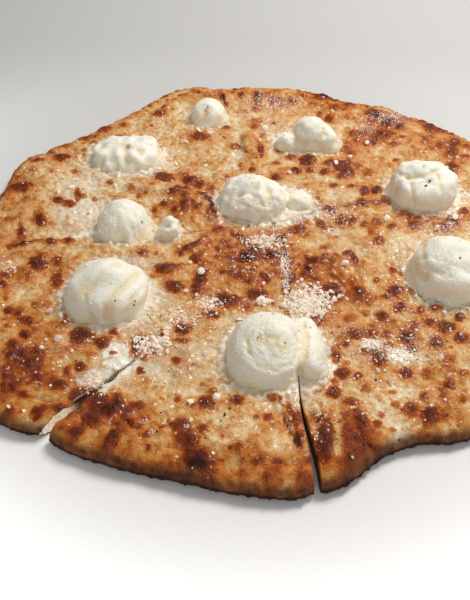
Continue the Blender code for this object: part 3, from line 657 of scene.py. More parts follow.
# Ridges, or creases where the rise is below 0: width and rise in millimetres, how much browner,
# how milky, and the pixels of the path. Browning along a crease is partly painted shade.
STROKES = (
    (3.0, 1.1, -0.12, 0.2, (62, 157), (100, 178), (165, 190)),
    (2.4, 0.8, -0.20, 0.9, (113, 163), (132, 168), (152, 175)),
    (1.6, 0.9, 0.22, 0.0, (14, 247), (30, 242), (55, 240), (75, 238)),
    (3.0, 0.9, -0.20, 0.9, (75, 238), (92, 233), (108, 240)),
    (2.2, -0.8, 0.25, 0.0, (163, 194), (180, 188), (205, 196), (214, 206)),
    (4.0, -1.0, -0.15, 0.5, (236, 120), (239, 142), (236, 165)),
    (1.2, -1.0, 0.40, 0.0, (222, 94), (224, 100), (227, 106)),
    (1.4, -0.7, 0.40, 0.0, (372, 112), (378, 118), (385, 123)),
    (2.6, -0.2, 0.16, 0.0, (328, 200), (345, 204), (366, 205), (390, 198)),
    (1.5, -0.9, 0.30, 0.0, (240, 133), (243, 149), (255, 157)),
    (1.0, -0.8, 0.30, 0.0, (283, 235), (287, 265), (290, 300)),
    (1.0, -0.8, 0.35, 0.0, (322, 386), (315, 399), (324, 410), (318, 422)),
    (1.0, -0.8, 0.35, 0.0, (280, 400), (284, 414), (290, 430), (300, 447)),
    (1.1, -0.8, 0.25, 0.0, (128, 421), (133, 427), (140, 427)),
    (1.0, -0.6, 0.20, 0.0, (155, 424), (161, 427), (168, 424)),
    (1.1, -0.6, 0.15, 0.0, (206, 420), (214, 426), (222, 436)),
    (1.8, -2.0, 0.40, 0.0, (370, 447), (375, 452), (382, 459)),
    (1.3, -1.1, 0.20, 0.0, (424, 414), (425, 428), (421, 442)),
    (2.4, -0.6, 0.08, 0.0, (306, 258), (310, 276), (324, 287), (346, 286)),
    (1.4, 1.5, -0.10, 0.3, (276, 404), (283, 412), (290, 424), (295, 436)),
    (2.2, -1.0, 0.05, 0.0, (282, 416), (287, 428), (293, 440)),
    (1.2, 1.2, -0.16, 0.5, (318, 392), (314, 404), (318, 416)),
    (2.6, -1.2, -0.10, 0.3, (326, 398), (325, 410)),
    (1.6, 0.5, -0.22, 0.3, (336, 426), (338, 440), (336, 456)),
    (2.0, 0.7, -0.08, 0.1, (366, 452), (384, 449), (400, 447), (424, 441)),
    (3.2, 0.5, -0.15, 0.8, (88, 404), (118, 377), (150, 352), (168, 330)),
)
# Bubbles and hollows: middle, width and height in pixels, rise in millimetres, how much browner.
SWELLS = (
    (188, 207, 60, 40, 2.6, 0.09), (330, 270, 42, 32, 2.4, 0.07), (251, 141, 22, 30, 1.5, 0.04),
    (213, 443, 30, 17, 1.3, -0.12), (286, 424, 20, 32, -1.2, 0.14), (321, 404, 17, 38, 0.8, -0.10),
    (120, 444, 60, 24, 1.0, 0.02), (252, 448, 44, 30, 1.0, -0.02), (56, 398, 50, 34, 1.0, 0.03),
    (245, 272, 70, 46, 1.2, 0.04), (350, 108, 60, 14, 1.2, 0.05), (40, 178, 40, 24, 1.0, 0.0),
    (30, 262, 44, 30, 1.1, 0.02), (380, 172, 44, 16, 0.9, 0.0), (300, 190, 50, 20, 1.2, -0.04),
    (345, 330, 40, 26, 1.0, 0.03), (440, 398, 44, 30, 1.0, 0.03), (345, 442, 34, 40, 1.0, 0.04),
    (95, 150, 50, 14, 0.9, 0.0), (180, 132, 44, 12, 1.0, 0.03), (60, 215, 40, 24, 0.9, -0.02),
)
# Fine grated cheese, a veil of pinkish white specks.
VEILS = (
    (85, 180, 60, 14, 70), (270, 103, 60, 16, 70), (392, 117, 40, 12, 80), (366, 128, 20, 22, 70),
    (262, 240, 50, 16, 90), (286, 270, 12, 64, 100), (308, 302, 44, 34, 100), (150, 344, 40, 20, 80),
    (150, 125, 60, 20, 50), (240, 110, 30, 20, 60), (330, 210, 70, 20, 60), (440, 225, 60, 20, 60),
    (340, 230, 50, 14, 60), (50, 230, 50, 14, 50), (100, 228, 40, 14, 60), (370, 350, 60, 30, 70),
    (420, 340, 60, 40, 60), (180, 320, 50, 20, 60), (60, 300, 60, 30, 40), (10, 265, 20, 14, 60),
    (60, 345, 50, 20, 50), (205, 300, 30, 16, 70), (330, 150, 50, 20, 50), (190, 150, 60, 20, 40),
    (400, 180, 20, 20, 40), (340, 330, 60, 20, 60), (90, 395, 20, 14, 60), (400, 400, 90, 50, 30),
)


# -------- painting the charts

GROUND_TOAST = 0.365
TONE_STRENGTH = 1.15
TONE_RAGGED = 0.20
TONE_WIDTH = 0.9
SWELL_FALL = (0.35, 1.25)
SWELL_RAGGED = 0.08
STROKE_POINTS = 12
STROKE_RAGGED = 0.35 * MM
POOL_STRENGTH = 1.25
POOL_FALL = (0.5, 1.5)
POOL_RAGGED = (0.12, 0.22)
LACE = 0.70
LACE_FROM = (0.6, 1.5)
LACE_INSIDE = (0, 20 * MM)
DUST = 0.36
DUST_FROM = (-0.4, 2.0)
DUST_INSIDE = (4 * MM, 26 * MM)
RIM_TOAST = 14 * MM
RIM_SAMPLES = 60
PATCH_FROM = (0.4, 1.8)

# The dome of a blister or bubble and the moat round it, in the spot's half sizes.
DOME_REACH = 1.3
DOME_WINDOW = 1.6
DOME_POWER = 1.5
MOAT_DEPTH = 0.16
MOAT_PLACE = 1.25
MOAT_WIDTH = 0.30

# Radii in millimetres, darkness and stretch: the least one, and how much more at most.
SMALL_BUBBLES = 1400
BUBBLE_RADII = (0.8, 2.0)
BUBBLE_STRETCH = 1.12
BUBBLE_RISE = 0.17
BUBBLE_TOAST = 0.05
SMALL_BLISTERS = 2600
BLISTER_SEED = 5
BLISTER_RADII = (0.8, 2.2)
BLISTER_DARKNESS = (0.30, 0.50)
BLISTER_STRETCH = (1.0, 0.35)
BLISTERS_INSIDE = 2 * MM
BROWNNESS_SPREAD = 6 * MM
BROWN_ENOUGH = (0.36, 0.58)
BROWN_FOR_DARK = (0.2, 0.5)

BLISTER_HEIGHT = 0.30
BLISTER_HEIGHTS = (0.15 * MM, 1.5 * MM)
BLISTER_RAGGED = (0.07, 0.10)
CORE_SHARE = 0.34
CORE_FALL = (0.1, 1.0)
CREST_FALL = (0.95, 1.42)
HALO_FROM = 0.3
HALO_SIZE = 1.6
HALO_SHARE = 0.50

# The pale ring round each spoonful of ricotta, in the spoonful's half sizes.
FOOT_REACH = (0.95, 1.46)
FOOT_RAGGED = (0.05, 0.10)
FOOT_MILK = 0.78
FOOT_RISE = 0.9 * MM
FOOT_TOAST = 0.16
UNBURNT = (1.25, 1.02)


class Charts:
    """What the oven did to the top: relief in metres, and the rest from about 0 to 1.
    toast is how brown, char how burnt, milk how white, and veil how thick the grated cheese."""

    def __init__(self, slices):
        self.fine = chart_noise(2.2 * MM, 31)
        self.middle = chart_noise(6 * MM, 32)
        self.broad = chart_noise(22 * MM, 33)
        self.inside = self.distance_inside(slices)
        self.relief = np.zeros(CHART_SHAPE)
        self.toast = np.full(CHART_SHAPE, GROUND_TOAST)
        self.char = np.zeros(CHART_SHAPE)
        lace = blend(*LACE_FROM, 0.8 * self.middle + 0.9 * self.fine)
        self.milk = LACE * lace * blend(*LACE_INSIDE, self.inside)
        dust = blend(*DUST_FROM, self.middle + self.broad)
        self.veil = DUST * dust * blend(*DUST_INSIDE, self.inside)
        self.paint_ground()
        self.paint_tones()
        self.raise_swells()
        self.add_small_bubbles()
        self.add_small_blisters()
        self.add_read_blisters()
        self.whiten_round_ricotta()
        self.lay_pools_and_veils()
        self.draw_strokes()

    def distance_inside(self, slices):
        """How far inside the rim each cell lies, along its own heading."""
        rims = np.vstack([piece.rim(np.linspace(0, 1, RIM_SAMPLES)) for piece in slices])
        heading = np.arctan2(rims[:, 1], rims[:, 0])
        order = np.argsort(heading)
        reach = np.hypot(rims[:, 0], rims[:, 1])[order]
        here = np.arctan2(CHART_Y, CHART_X)
        return np.interp(here, heading[order], reach, period=math.tau) - np.hypot(CHART_X, CHART_Y)

    def paint_ground(self):
        """The uneven ground of the cheese and of the bare rim."""
        wrinkles = chart_noise(7 * MM, 41)
        ripples = chart_noise(3.2 * MM, 42)
        grain = chart_noise(1.7 * MM, 43)
        rim = np.exp(-np.maximum(self.inside, 0) / RIM_TOAST)
        self.relief += 0.35 * MM * self.broad + 0.24 * MM * wrinkles
        self.relief += (0.10 + 0.05 * rim) * MM * ripples + (0.06 + 0.08 * rim) * MM * grain
        self.toast += 0.06 * self.broad + 0.03 * wrinkles + 0.04 * self.middle
        patches = chart_noise(12 * MM, 44) + 0.5 * self.middle + 0.2 * self.fine
        self.toast += 0.12 * blend(*PATCH_FROM, patches) + 0.12 * rim

    def ragged(self, here, fine, middle):
        """Uneven hills of two lengths, which break up the edge of a spot."""
        return fine * self.fine[here] + middle * self.middle[here]

    def paint_tones(self):
        for *place, amount in TONES:
            spot = picture_spot(*place)
            here, apart = cells_round(spot, 2 * spot_reach(spot))
            apart = apart + TONE_RAGGED * self.middle[here]
            self.toast[here] += TONE_STRENGTH * (amount / 100) * bell(np.maximum(apart, 0), TONE_WIDTH)

    def raise_swells(self):
        for *place, rise, amount in SWELLS:
            spot = picture_spot(*place)
            here, apart = cells_round(spot, 2 * spot_reach(spot))
            share = 1 - blend(*SWELL_FALL, apart + SWELL_RAGGED * self.middle[here])
            self.relief[here] += rise * MM * share
            self.toast[here] += amount * share

    def draw_strokes(self):
        for width, rise, toast, milk, *pixels in STROKES:
            path = Line([seen(*pixel) for pixel in pixels])(np.linspace(0, 1, STROKE_POINTS))
            middle = (path.min(0) + path.max(0)) / 2
            here = window(*middle, np.abs(path - middle).max() + 3 * (width * MM))
            cells_here = np.stack([CHART_X[here].ravel(), CHART_Y[here].ravel()], -1)
            apart = line_distance(cells_here, path).reshape(CHART_X[here].shape)
            share = bell(np.maximum(apart + STROKE_RAGGED * self.fine[here], 0), width * MM)
            self.relief[here] += rise * MM * share
            # Along creases the browning is partly painted shade.
            self.toast[here] += toast * share
            raise_to(self.milk, here, milk * share)

    def raise_dome(self, spot, height):
        """A smooth dome with a slight moat round it."""
        here, apart = cells_round(spot, DOME_WINDOW * DOME_REACH * spot_reach(spot))
        dome = np.clip(1 - (apart / DOME_REACH) ** 2, 0, None) ** DOME_POWER
        moat = MOAT_DEPTH * bell(apart - MOAT_PLACE * DOME_REACH, MOAT_WIDTH)
        self.relief[here] += height * (dome - moat)

    def add_small_bubbles(self):
        """Bubbles that rose without browning much."""
        draw = np.random.default_rng(BLISTER_SEED)
        for x, y, size, turn in draw.uniform((-1, -1, 0, 0), (1, 1, 1, math.pi), (SMALL_BUBBLES, 4)):
            x, y = x * CHART_SIDE / 2, y * CHART_SIDE / 2
            if read_chart(self.inside, x, y) < 0:
                continue
            radius = grown(BUBBLE_RADII, size ** 3) * MM
            spot = round_spot(x, y, radius, BUBBLE_STRETCH, turn)
            self.raise_dome(spot, BUBBLE_RISE * radius)
            here, apart = cells_round(spot, 2 * radius)
            self.toast[here] += BUBBLE_TOAST * bell(apart, 1.0)

    def add_small_blisters(self):
        """Small brown spots, mostly where the surface is brown already."""
        draw = np.random.default_rng(BLISTER_SEED + 1)
        brownness = chart_blur(self.toast, BROWNNESS_SPREAD)
        for row in draw.uniform((-1, -1, 0, 0, 0, 0), (1, 1, 1, 1, 1, math.pi), (SMALL_BLISTERS, 6)):
            x, y = row[:2] * CHART_SIDE / 2
            chance, size, darkness, turn = row[2:]
            if read_chart(self.inside, x, y) < BLISTERS_INSIDE:
                continue
            if chance > blend(*BROWN_ENOUGH, read_chart(brownness, x, y)):
                continue
            radius = grown(BLISTER_RADII, size ** 2.2) * MM
            least, more = BLISTER_DARKNESS
            dark = least + more * darkness * blend(*BROWN_FOR_DARK, read_chart(brownness, x, y))
            self.add_blister(round_spot(x, y, radius, grown(BLISTER_STRETCH, chance), turn), dark)

    def add_read_blisters(self):
        for *place, dark in BLISTERS:
            self.add_blister(picture_spot(*place), dark / 100)
        for *ends_and_width, dark in STREAKS:
            self.add_blister(picture_streak(*ends_and_width), dark / 100)

    def add_blister(self, spot, dark):
        """A blister: a dark uneven crest on a dome, with a tan halo round it."""
        size = math.sqrt(abs(spot_area(spot)))
        self.raise_dome(spot, float(np.clip(BLISTER_HEIGHT * size, *BLISTER_HEIGHTS)))
        here, apart = cells_round(spot, 3 * spot_reach(spot))
        rough = self.ragged(here, *BLISTER_RAGGED)
        fall = CORE_SHARE * blend(*CORE_FALL, apart + rough)
        crest = dark * (1 - fall - (1 - CORE_SHARE) * blend(*CREST_FALL, apart + rough))
        raise_to(self.char, here, crest)
        halo = HALO_SHARE * dark * bell(np.maximum(apart + rough - HALO_FROM, 0), HALO_SIZE - HALO_FROM)
        self.toast[here] += halo * (1 - self.toast[here])

    def whiten_round_ricotta(self):
        """The cheese stays pale and smooth under and right round each spoonful."""
        for name in SPOONFULS:
            low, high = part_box(name)
            middle, half = (low + high) / 2, (high - low) / 2
            spot = Spot(middle.x, middle.y, half.x, 0.0, 0.0, half.y)
            here, apart = cells_round(spot, 2 * spot_reach(spot))
            near = 1 - blend(*FOOT_REACH, apart + self.ragged(here, *FOOT_RAGGED))
            raise_to(self.milk, here, FOOT_MILK * near)
            self.relief[here] += FOOT_RISE * near ** 2
            self.toast[here] -= FOOT_TOAST * near
            self.char[here] *= 1 - blend(*UNBURNT, apart)

    def lay_pools_and_veils(self):
        for chart, places in ((self.milk, POOLS), (self.veil, VEILS)):
            for *place, amount in places:
                spot = picture_spot(*place)
                here, apart = cells_round(spot, 2.2 * spot_reach(spot))
                share = 1 - blend(*POOL_FALL, apart + self.ragged(here, *POOL_RAGGED))
                raise_to(chart, here, POOL_STRENGTH * (amount / 100) * share)

    def read(self, plan):
        """The charts' values at some plan points."""
        names = ("toast", "char", "milk", "veil")
        return {name: read_chart(getattr(self, name), plan[:, 0], plan[:, 1]) for name in names}


# -------- shells of dough and of cheese

# How far the top comes down at each cut, in millimetres; the closed ones are all but covered.
CUT_DROPS = {1: 0.15, 2: 0.1, 3: 0.1, 4: 0.1, 5: 0.9, 6: 0.9, 7: 0.3, 8: 0.2}
CUT_OPEN_FROM = (0.35, 0.95)
CUT_DROP_INSIDE = 0.3
CUT_ROUND = 1.3 * MM
# The brown walls of these cuts are partly painted shade in the narrow cuts.
BROWN_CUT = 5
BROWN_WALL = 0.3
PALE_FROM = (0.84, 0.91)
CHEESE_WALL = 0.5
CHEESE_EDGE = (-1.2 * MM, 3.5 * MM)
CHEESE_EDGE_SINK = 0.25 * MM
# The share of the rim's rows that lie under the cheese's border, and where the underside's fine
# rows begin, in radii of its rounding.
LAP_ROWS = 0.25
ROUND_ROWS = 1.3
RELIEF_FROM = (1 - RIM_LAP, 1 - RIM_LAP * 0.3)


class Shape:
    """Collects a mesh's points with their marks, and its faces."""

    def __init__(self):
        self.points = np.zeros((0, 3))
        self.faces = []
        self.crumb = np.zeros(0)
        self.under = np.zeros(0)

    def add(self, points, crumb=0.0, under=0.0):
        """Adds points and returns their numbers. crumb marks the inside of the dough, and
        under how far round the rim a point lies, 0 on the top and 1 underneath."""
        first = len(self.points)
        self.points = np.vstack([self.points, points])
        self.crumb = np.concatenate([self.crumb, np.broadcast_to(crumb, len(points))])
        self.under = np.concatenate([self.under, np.broadcast_to(under, len(points))])
        return np.arange(first, first + len(points))

    def stitch(self, near, far, up):
        """Triangles between two rows that run from cut to cut and may differ in count."""
        near_t, far_t = np.linspace(0, 1, len(near)), np.linspace(0, 1, len(far))
        near, far = near.tolist(), far.tolist()
        i = j = 0
        while i < len(near) - 1 or j < len(far) - 1:
            take_near = j == len(far) - 1
            if i < len(near) - 1 and j < len(far) - 1:
                take_near = near_t[i] + near_t[i + 1] < far_t[j] + far_t[j + 1]
            if take_near:
                corners = (near[i], near[i + 1], far[j])
                i += 1
            else:
                corners = (near[i], far[j + 1], far[j])
                j += 1
            self.faces.append(corners if up else corners[::-1])

    def stretch(self, grid, flip):
        """Four-sided faces over a grid of point numbers, whose rows go down the wall."""
        corners = np.stack([grid[:-1, :-1], grid[:-1, 1:], grid[1:, 1:], grid[1:, :-1]], -1)
        quads = corners.reshape(-1, 4)
        self.faces += (quads[:, ::-1] if flip else quads).tolist()

    def make(self, name, charts, material):
        """The object, with its marks kept on its points."""
        mesh = bpy.data.meshes.new(name)
        mesh.from_pydata(self.points.tolist(), [], self.faces)
        mesh.update()
        mesh.shade_smooth()
        marks = charts.read(self.points)
        marks.update(crumb=self.crumb, under=self.under)
        for mark, values in marks.items():
            keep_mark(mesh, mark, values)
        mesh.materials.append(material)
        return add_object(name, mesh)


def lay_rows(shape, piece, outs, counts, height, under):
    """Rows of points from the tip outwards. Returns the point numbers of each row."""
    shares = [np.linspace(0, 1, count + 1) if count else np.array([0.5]) for count in counts]
    out = np.repeat(outs, [len(share) for share in shares])
    t = np.concatenate(shares)
    plan = piece.plan(out, t)
    numbers = shape.add(np.column_stack([plan, height(out, t, plan)]), under=under(out, t))
    return np.split(numbers, np.cumsum([len(share) for share in shares])[:-1])


def hang_wall(shape, upper, lower, layers, crumb):
    """Layers of points between an upper and a lower chain, as a grid of point numbers."""
    top, bottom = shape.points[upper], shape.points[lower]
    grid = [upper]
    for layer in range(1, layers + 1):
        share = layer / (layers + 1)
        under = shape.under[upper] * (1 - share) + shape.under[lower] * share
        grid.append(shape.add(top + (bottom - top) * share, crumb, under))
    return np.array(grid + [lower])


def pale_wall(cut, rows):
    """How pale the walls of a cut are, from the middle outwards: those of the front one are brown,
    and those of the left front one are pale near the rim alone. That brown is partly painted shade in the
    narrow cuts."""
    if cut == BROWN_CUT:
        return np.full(rows, BROWN_WALL)
    if cut == BROWN_CUT + 1:
        return at_least(BROWN_WALL, blend(*PALE_FROM, np.linspace(0, 1, rows)))
    return np.ones(rows)


def build_shell(shape, piece, outs, counts, heights, layers, crumb, unders):
    """A closed wedge: upper and lower sides, the two cut walls and the outer wall. counts,
    heights and unders each give the upper side's and the lower side's."""
    top, low = (lay_rows(shape, piece, outs, *side) for side in zip(counts, heights, unders))
    for near, far in zip(top, top[1:]):
        shape.stitch(near, far, True)
    for near, far in zip(low, low[1:]):
        shape.stitch(near, far, False)
    sides = []
    for cut, end in ((piece.number, 0), (piece.number % SLICES + 1, -1)):
        upper, lower = (np.array([row[end] for row in rows]) for rows in (top, low))
        sides.append(hang_wall(shape, upper, lower, layers, crumb * pale_wall(cut, len(upper))))
    left, right = sides
    right[1:-1, 0] = left[1:-1, 0]
    outer = hang_wall(shape, top[-1], low[-1], layers, 0.0)
    outer[1:-1, 0], outer[1:-1, -1] = left[1:-1, -1], right[1:-1, -1]
    shape.stretch(left, False)
    shape.stretch(right, True)
    shape.stretch(outer, False)
    return left, right, outer


def drop_unused(shape):
    """Removes points that no face uses."""
    used = np.unique(np.concatenate([np.array(face) for face in shape.faces]))
    place = np.zeros(len(shape.points), int)
    place[used] = np.arange(len(used))
    shape.points = shape.points[used]
    shape.crumb, shape.under = shape.crumb[used], shape.under[used]
    shape.faces = [[int(place[corner]) for corner in face] for face in shape.faces]


def cut_rounding(piece, out, t):
    """How much the top comes down at the nearer cut."""
    drops = CUT_DROPS[piece.number] * MM, CUT_DROPS[piece.number % SLICES + 1] * MM
    drop = np.where(t < 0.5, *drops) * at_least(CUT_DROP_INSIDE, blend(*CUT_OPEN_FROM, out))
    return drop * np.exp(-piece.from_cut(out, t) / CUT_ROUND)


def relief_at(charts, plan):
    return read_chart(charts.relief, plan[:, 0], plan[:, 1])


def cheese_top(piece, charts, out, t, plan):
    """The melted layer: it comes out of the dough at its border and thickens inwards."""
    from_border = np.clip(1 - out, 0, 1) * piece.length
    rise = CHEESE_LIP + (CHEESE_THICKNESS - CHEESE_LIP) * blend(0, CHEESE_TAPER, from_border)
    rise = (rise + LAYER_GAP) * blend(*CHEESE_EDGE, from_border) - CHEESE_EDGE_SINK
    height = piece.dough_top(out, t) + rise + relief_at(charts, plan)
    return height - cut_rounding(piece, out, t)


def on_top(out, t):
    return np.zeros(len(out))


def underneath(out, t):
    return np.ones(len(out))


def make_cheese(piece, charts, material):
    """The melted cheese over one slice."""
    rows = int(piece.length / CHEESE_STEP)
    outs = np.linspace(0, 1, rows + 1)
    widths = piece.width(outs)
    top_counts = [int(width / CHEESE_STEP) for width in widths]
    low_counts = [int(width / HIDDEN_STEP) + 1 for width in widths]
    top_counts[0] = low_counts[0] = 0
    low_counts[-1] = top_counts[-1]

    def top_height(out, t, plan):
        return cheese_top(piece, charts, out, t, plan)

    def low_height(out, t, plan):
        over_dough = piece.dough_top(out, t) + LAYER_GAP
        return np.minimum(over_dough, cheese_top(piece, charts, out, t, plan) - LAYER_GAP)

    shape = Shape()
    build_shell(shape, piece, outs, (top_counts, low_counts), (top_height, low_height),
                CHEESE_LAYERS, CHEESE_WALL, (on_top, on_top))
    drop_unused(shape)
    return shape.make(f"melted_cheese_{piece.number}", charts, material)


def crust_rows(piece):
    """The rows of a slice's dough from tip to rim, and each row's steps above and below."""
    inner_rows = int(piece.length / WALL_STEP)
    bare = piece.bare_width(np.array([0.5]))[0]
    rim_rows = int((RIM_LAP * piece.length + bare) / RIM_STEP)
    lap_rows = int(rim_rows * LAP_ROWS)
    outs = np.concatenate([
        np.linspace(0, 1 - RIM_LAP, inner_rows)[:-1],
        np.linspace(1 - RIM_LAP, 1, lap_rows)[:-1],
        1 + np.linspace(0, 1, rim_rows - lap_rows + 1),
    ])
    fine = int(piece.rim.length() / RIM_STEP)
    coarse = [int(width / HIDDEN_STEP) + 1 for width in piece.width(outs)]
    top_counts = [fine if out >= 1 - RIM_LAP - 1e-9 else count for out, count in zip(outs, coarse)]
    round_from = 2 - ROUND_ROWS * UNDERSIDE_ROUND / bare
    low_counts = [fine if out > round_from else count for out, count in zip(outs, coarse)]
    top_counts[0] = low_counts[0] = 0
    return outs, (top_counts, low_counts)


def make_crust(piece, charts, material):
    """The dough under one slice: its bare rim, its cut walls and its underside."""
    def top_height(out, t, plan):
        height = piece.dough_top(out, t) + blend(*RELIEF_FROM, out) * relief_at(charts, plan)
        return height - cut_rounding(piece, out, t)

    def low_height(out, t, plan):
        short = 1 - np.clip(piece.inside(out, t) / UNDERSIDE_ROUND, 0, 1)
        return UNDERSIDE_RISE * (1 - np.sqrt(1 - short * short))

    def to_edge(out, t):
        return EDGE_UNDER * blend(EDGE_FROM, 0, piece.inside(out, t))

    shape = Shape()
    left, right, outer = build_shell(shape, piece, *crust_rows(piece), (top_height, low_height),
                                     CRUST_LAYERS, 1.0, (to_edge, underneath))
    shape_rim(shape, outer)
    for wall in (left, right):
        open_crumb(shape, piece, wall)
    drop_unused(shape)
    return shape.make(f"baked_dough_{piece.number}", charts, material)


EDGE_UNDER = 0.35
EDGE_FROM = 7 * MM
RIM_BULGE = 0.9 * MM
RIM_ROUGHNESS = 0.30 * MM
RIM_WAVES = (5 * MM, 61)
RIM_RIPPLES = (2 * MM, 62)
HOLE_SIZE = 2.6 * MM
HOLE_DEPTH = 0.9 * MM
HOLE_FALL = (0.60, 0.25)
HOLE_FLATTENING = np.array((1.0, 1.0, 1.6))
HOLES_SEED = 71


def shape_rim(shape, outer):
    """Rounds the outer wall and roughens it, from the top row to the lowest."""
    points = shape.points
    middle = points[outer[0]] + points[outer[-1]]
    away = np.column_stack([middle[:, 0], middle[:, 1], np.zeros(len(middle))])
    away /= np.linalg.norm(away, axis=1)[:, None]
    for layer, row in enumerate(outer):
        share = layer / (len(outer) - 1)
        rough = waves(points[row], *RIM_WAVES) + 0.6 * waves(points[row], *RIM_RIPPLES)
        bulge = math.sin(math.pi * share)
        points[row] += away * (RIM_BULGE * bulge + RIM_ROUGHNESS * rough * bulge)[:, None]
        shape.under[row] = at_least(EDGE_UNDER, share)


def open_crumb(shape, piece, wall):
    """Opens the airy holes of the baked dough in a cut wall."""
    middle_rows = wall[1:-1].ravel()
    points = shape.points[middle_rows]
    chain = shape.points[wall[0]]
    ahead = np.gradient(chain[:, :2], axis=0)
    side = np.column_stack([-ahead[:, 1], ahead[:, 0], np.zeros(len(ahead))])
    side /= np.maximum(np.linalg.norm(side, axis=1), 1e-9)[:, None]
    centre = np.append(piece.plan(np.array([1.0]), np.array([0.5]))[0], 0.0)
    inward = np.sign(((centre - chain) * side).sum(1))[:, None] * side
    inward = np.tile(inward, (len(wall) - 2, 1))
    holes = blend(*HOLE_FALL, cells(points * HOLE_FLATTENING, HOLE_SIZE, HOLES_SEED))
    shape.points[middle_rows] = points + inward * (HOLE_DEPTH * holes)[:, None]


# -------- ricotta

RICOTTA_VOXEL = 0.9 * MM
RICOTTA_SOFTENING = 70
FOOT_SOFTENING = 9
RICOTTA_SWELL = 0.8 * MM
SKIRT_HEIGHT = 6.0 * MM
SKIRT_FLARE = 6.0 * MM
SKIRT_SINK = 1.0 * MM
SKIRT_RAGGED = (0.75, 0.35)
SKIRT_WAVES = 16 * MM
SKIRT_SEED = 100
SKIRT_REACH = (0.3, 1.2)
STEEPEST = 0.3
SURFACE_AT_FOOT = 0.35
# Painted shade: a fold or dimple this deep is painted the full darker cream; raised lumps are painted a
# little paler, as painted light.
HOLLOW_DEPTH = 0.9 * MM
HOLLOW_SHADE_MARKS = (-0.6, 1)
GROUND_STEP = 4
HEADINGS = 72
DOME_FULL = 2.35
DOME_SOFT = 1.52
CURD_MIDDLE = 0.55
PITS = (1.9 * MM, 30)
PIT_DEPTH = 0.06 * MM
SMEAR_PITCH = 2.4 * MM
SMEAR_WOBBLE = 0.5 * MM
SMEAR_WOBBLE_LENGTH = 12 * MM

# Folds and grooves: width and depth in millimetres, and the pixels they run through.
FOLDS = {
    "ricotta_2": (
        (1.5, 1.3, (294, 129), (297, 137), (301, 144)),
        (1.7, 0.9, (298, 140), (308, 144), (320, 141), (325, 134)),
        (1.4, 0.9, (325, 122), (324, 130), (320, 137)),
    ),
    "ricotta_4": (
        (1.9, 1.3, (391, 168), (400, 174), (410, 178), (424, 177), (438, 170)),
        (1.7, 1.1, (410, 184), (413, 195), (415, 206)), (1.7, 1.1, (438, 176), (441, 188), (441, 202)),
        (1.4, 0.8, (406, 179), (400, 186), (394, 190)),
    ),
    "ricotta_5": (
        (1.8, 0.5, (128, 203), (136, 218), (138, 236)), (1.6, 0.4, (112, 200), (118, 216), (116, 236)),
    ),
    "ricotta_6": (
        (1.5, 1.2, (262, 178), (267, 186), (270, 197), (269, 207)),
        (1.5, 1.0, (238, 196), (250, 193), (258, 198), (264, 206)),
        (1.2, 0.7, (242, 204), (250, 207), (258, 212)), (1.2, 0.8, (287, 186), (289, 196), (288, 206)),
    ),
    "ricotta_7": (
        (2.0, 1.2, (104, 318), (106, 307), (113, 297), (127, 285), (140, 272)),
        (2.2, 0.7, (82, 302), (90, 288), (99, 273), (112, 263)),
        (1.8, 0.8, (126, 312), (133, 298), (143, 288)), (1.6, 0.9, (112, 322), (111, 312), (118, 303)),
        (1.8, -0.8, (102, 324), (101, 314), (98, 303)), (1.5, 0.8, (92, 318), (88, 308), (84, 296)),
    ),
    "ricotta_8": (
        (1.9, 1.3, (303, 322), (306, 340), (305, 358), (300, 372)),
        (1.5, 0.7, (248, 352), (246, 338), (256, 326), (274, 322), (292, 328), (300, 342)),
        (1.5, 0.6, (248, 352), (258, 366), (276, 371), (292, 364), (300, 350)),
    ),
    "ricotta_9": (
        (2.2, 0.9, (414, 262), (416, 272), (424, 280)),
        (2.0, 0.7, (428, 240), (422, 252), (426, 266), (440, 274)),
    ),
}
# Dimples, or small humps where the depth is below 0: their pixel, and radius and depth in
# millimetres.
DENTS = {
    "ricotta_1": (
        (206, 113, 3.6, 1.5), (198, 104, 4.0, -0.5),
    ),
    "ricotta_2": (
        (306, 128, 6.0, -0.8), (285, 137, 4.0, -0.8), (334, 136, 4.0, -0.6),
    ),
    "ricotta_3": (
        (145, 141, 5.0, -1.6), (112, 143, 4.0, -1.3), (98, 156, 3.5, -1.2), (132, 156, 3.6, -1.0),
        (122, 150, 3.2, 1.0), (152, 156, 4.0, -1.0), (140, 152, 3.4, 0.9),
    ),
    "ricotta_4": (
        (399, 181, 4.5, -0.9), (426, 194, 4.5, -1.0), (402, 196, 4.5, -0.8), (452, 186, 4.5, -0.8),
    ),
    "ricotta_6": (
        (248, 182, 4.5, -1.0), (256, 190, 2.2, 0.7), (252, 211, 2.4, -0.7), (258, 216, 2.2, -0.6),
        (278, 190, 3.0, -0.6), (240, 208, 2.6, -0.5),
    ),
    "ricotta_8": (
        (274, 347, 9.0, 1.1), (262, 350, 1.8, -0.8), (270, 343, 1.6, -0.7), (276, 352, 1.5, -0.6),
        (266, 357, 1.5, -0.6), (282, 344, 1.6, -0.5),
    ),
    "ricotta_9": (
        (440, 252, 5.0, -0.8), (425, 277, 2.6, 0.9),
    ),
    "small_curd": (
        (168, 218, 2.4, -1.3), (162, 230, 2.2, -1.1), (175, 230, 2.2, -1.1), (168, 226, 1.4, 0.9),
    ),
}
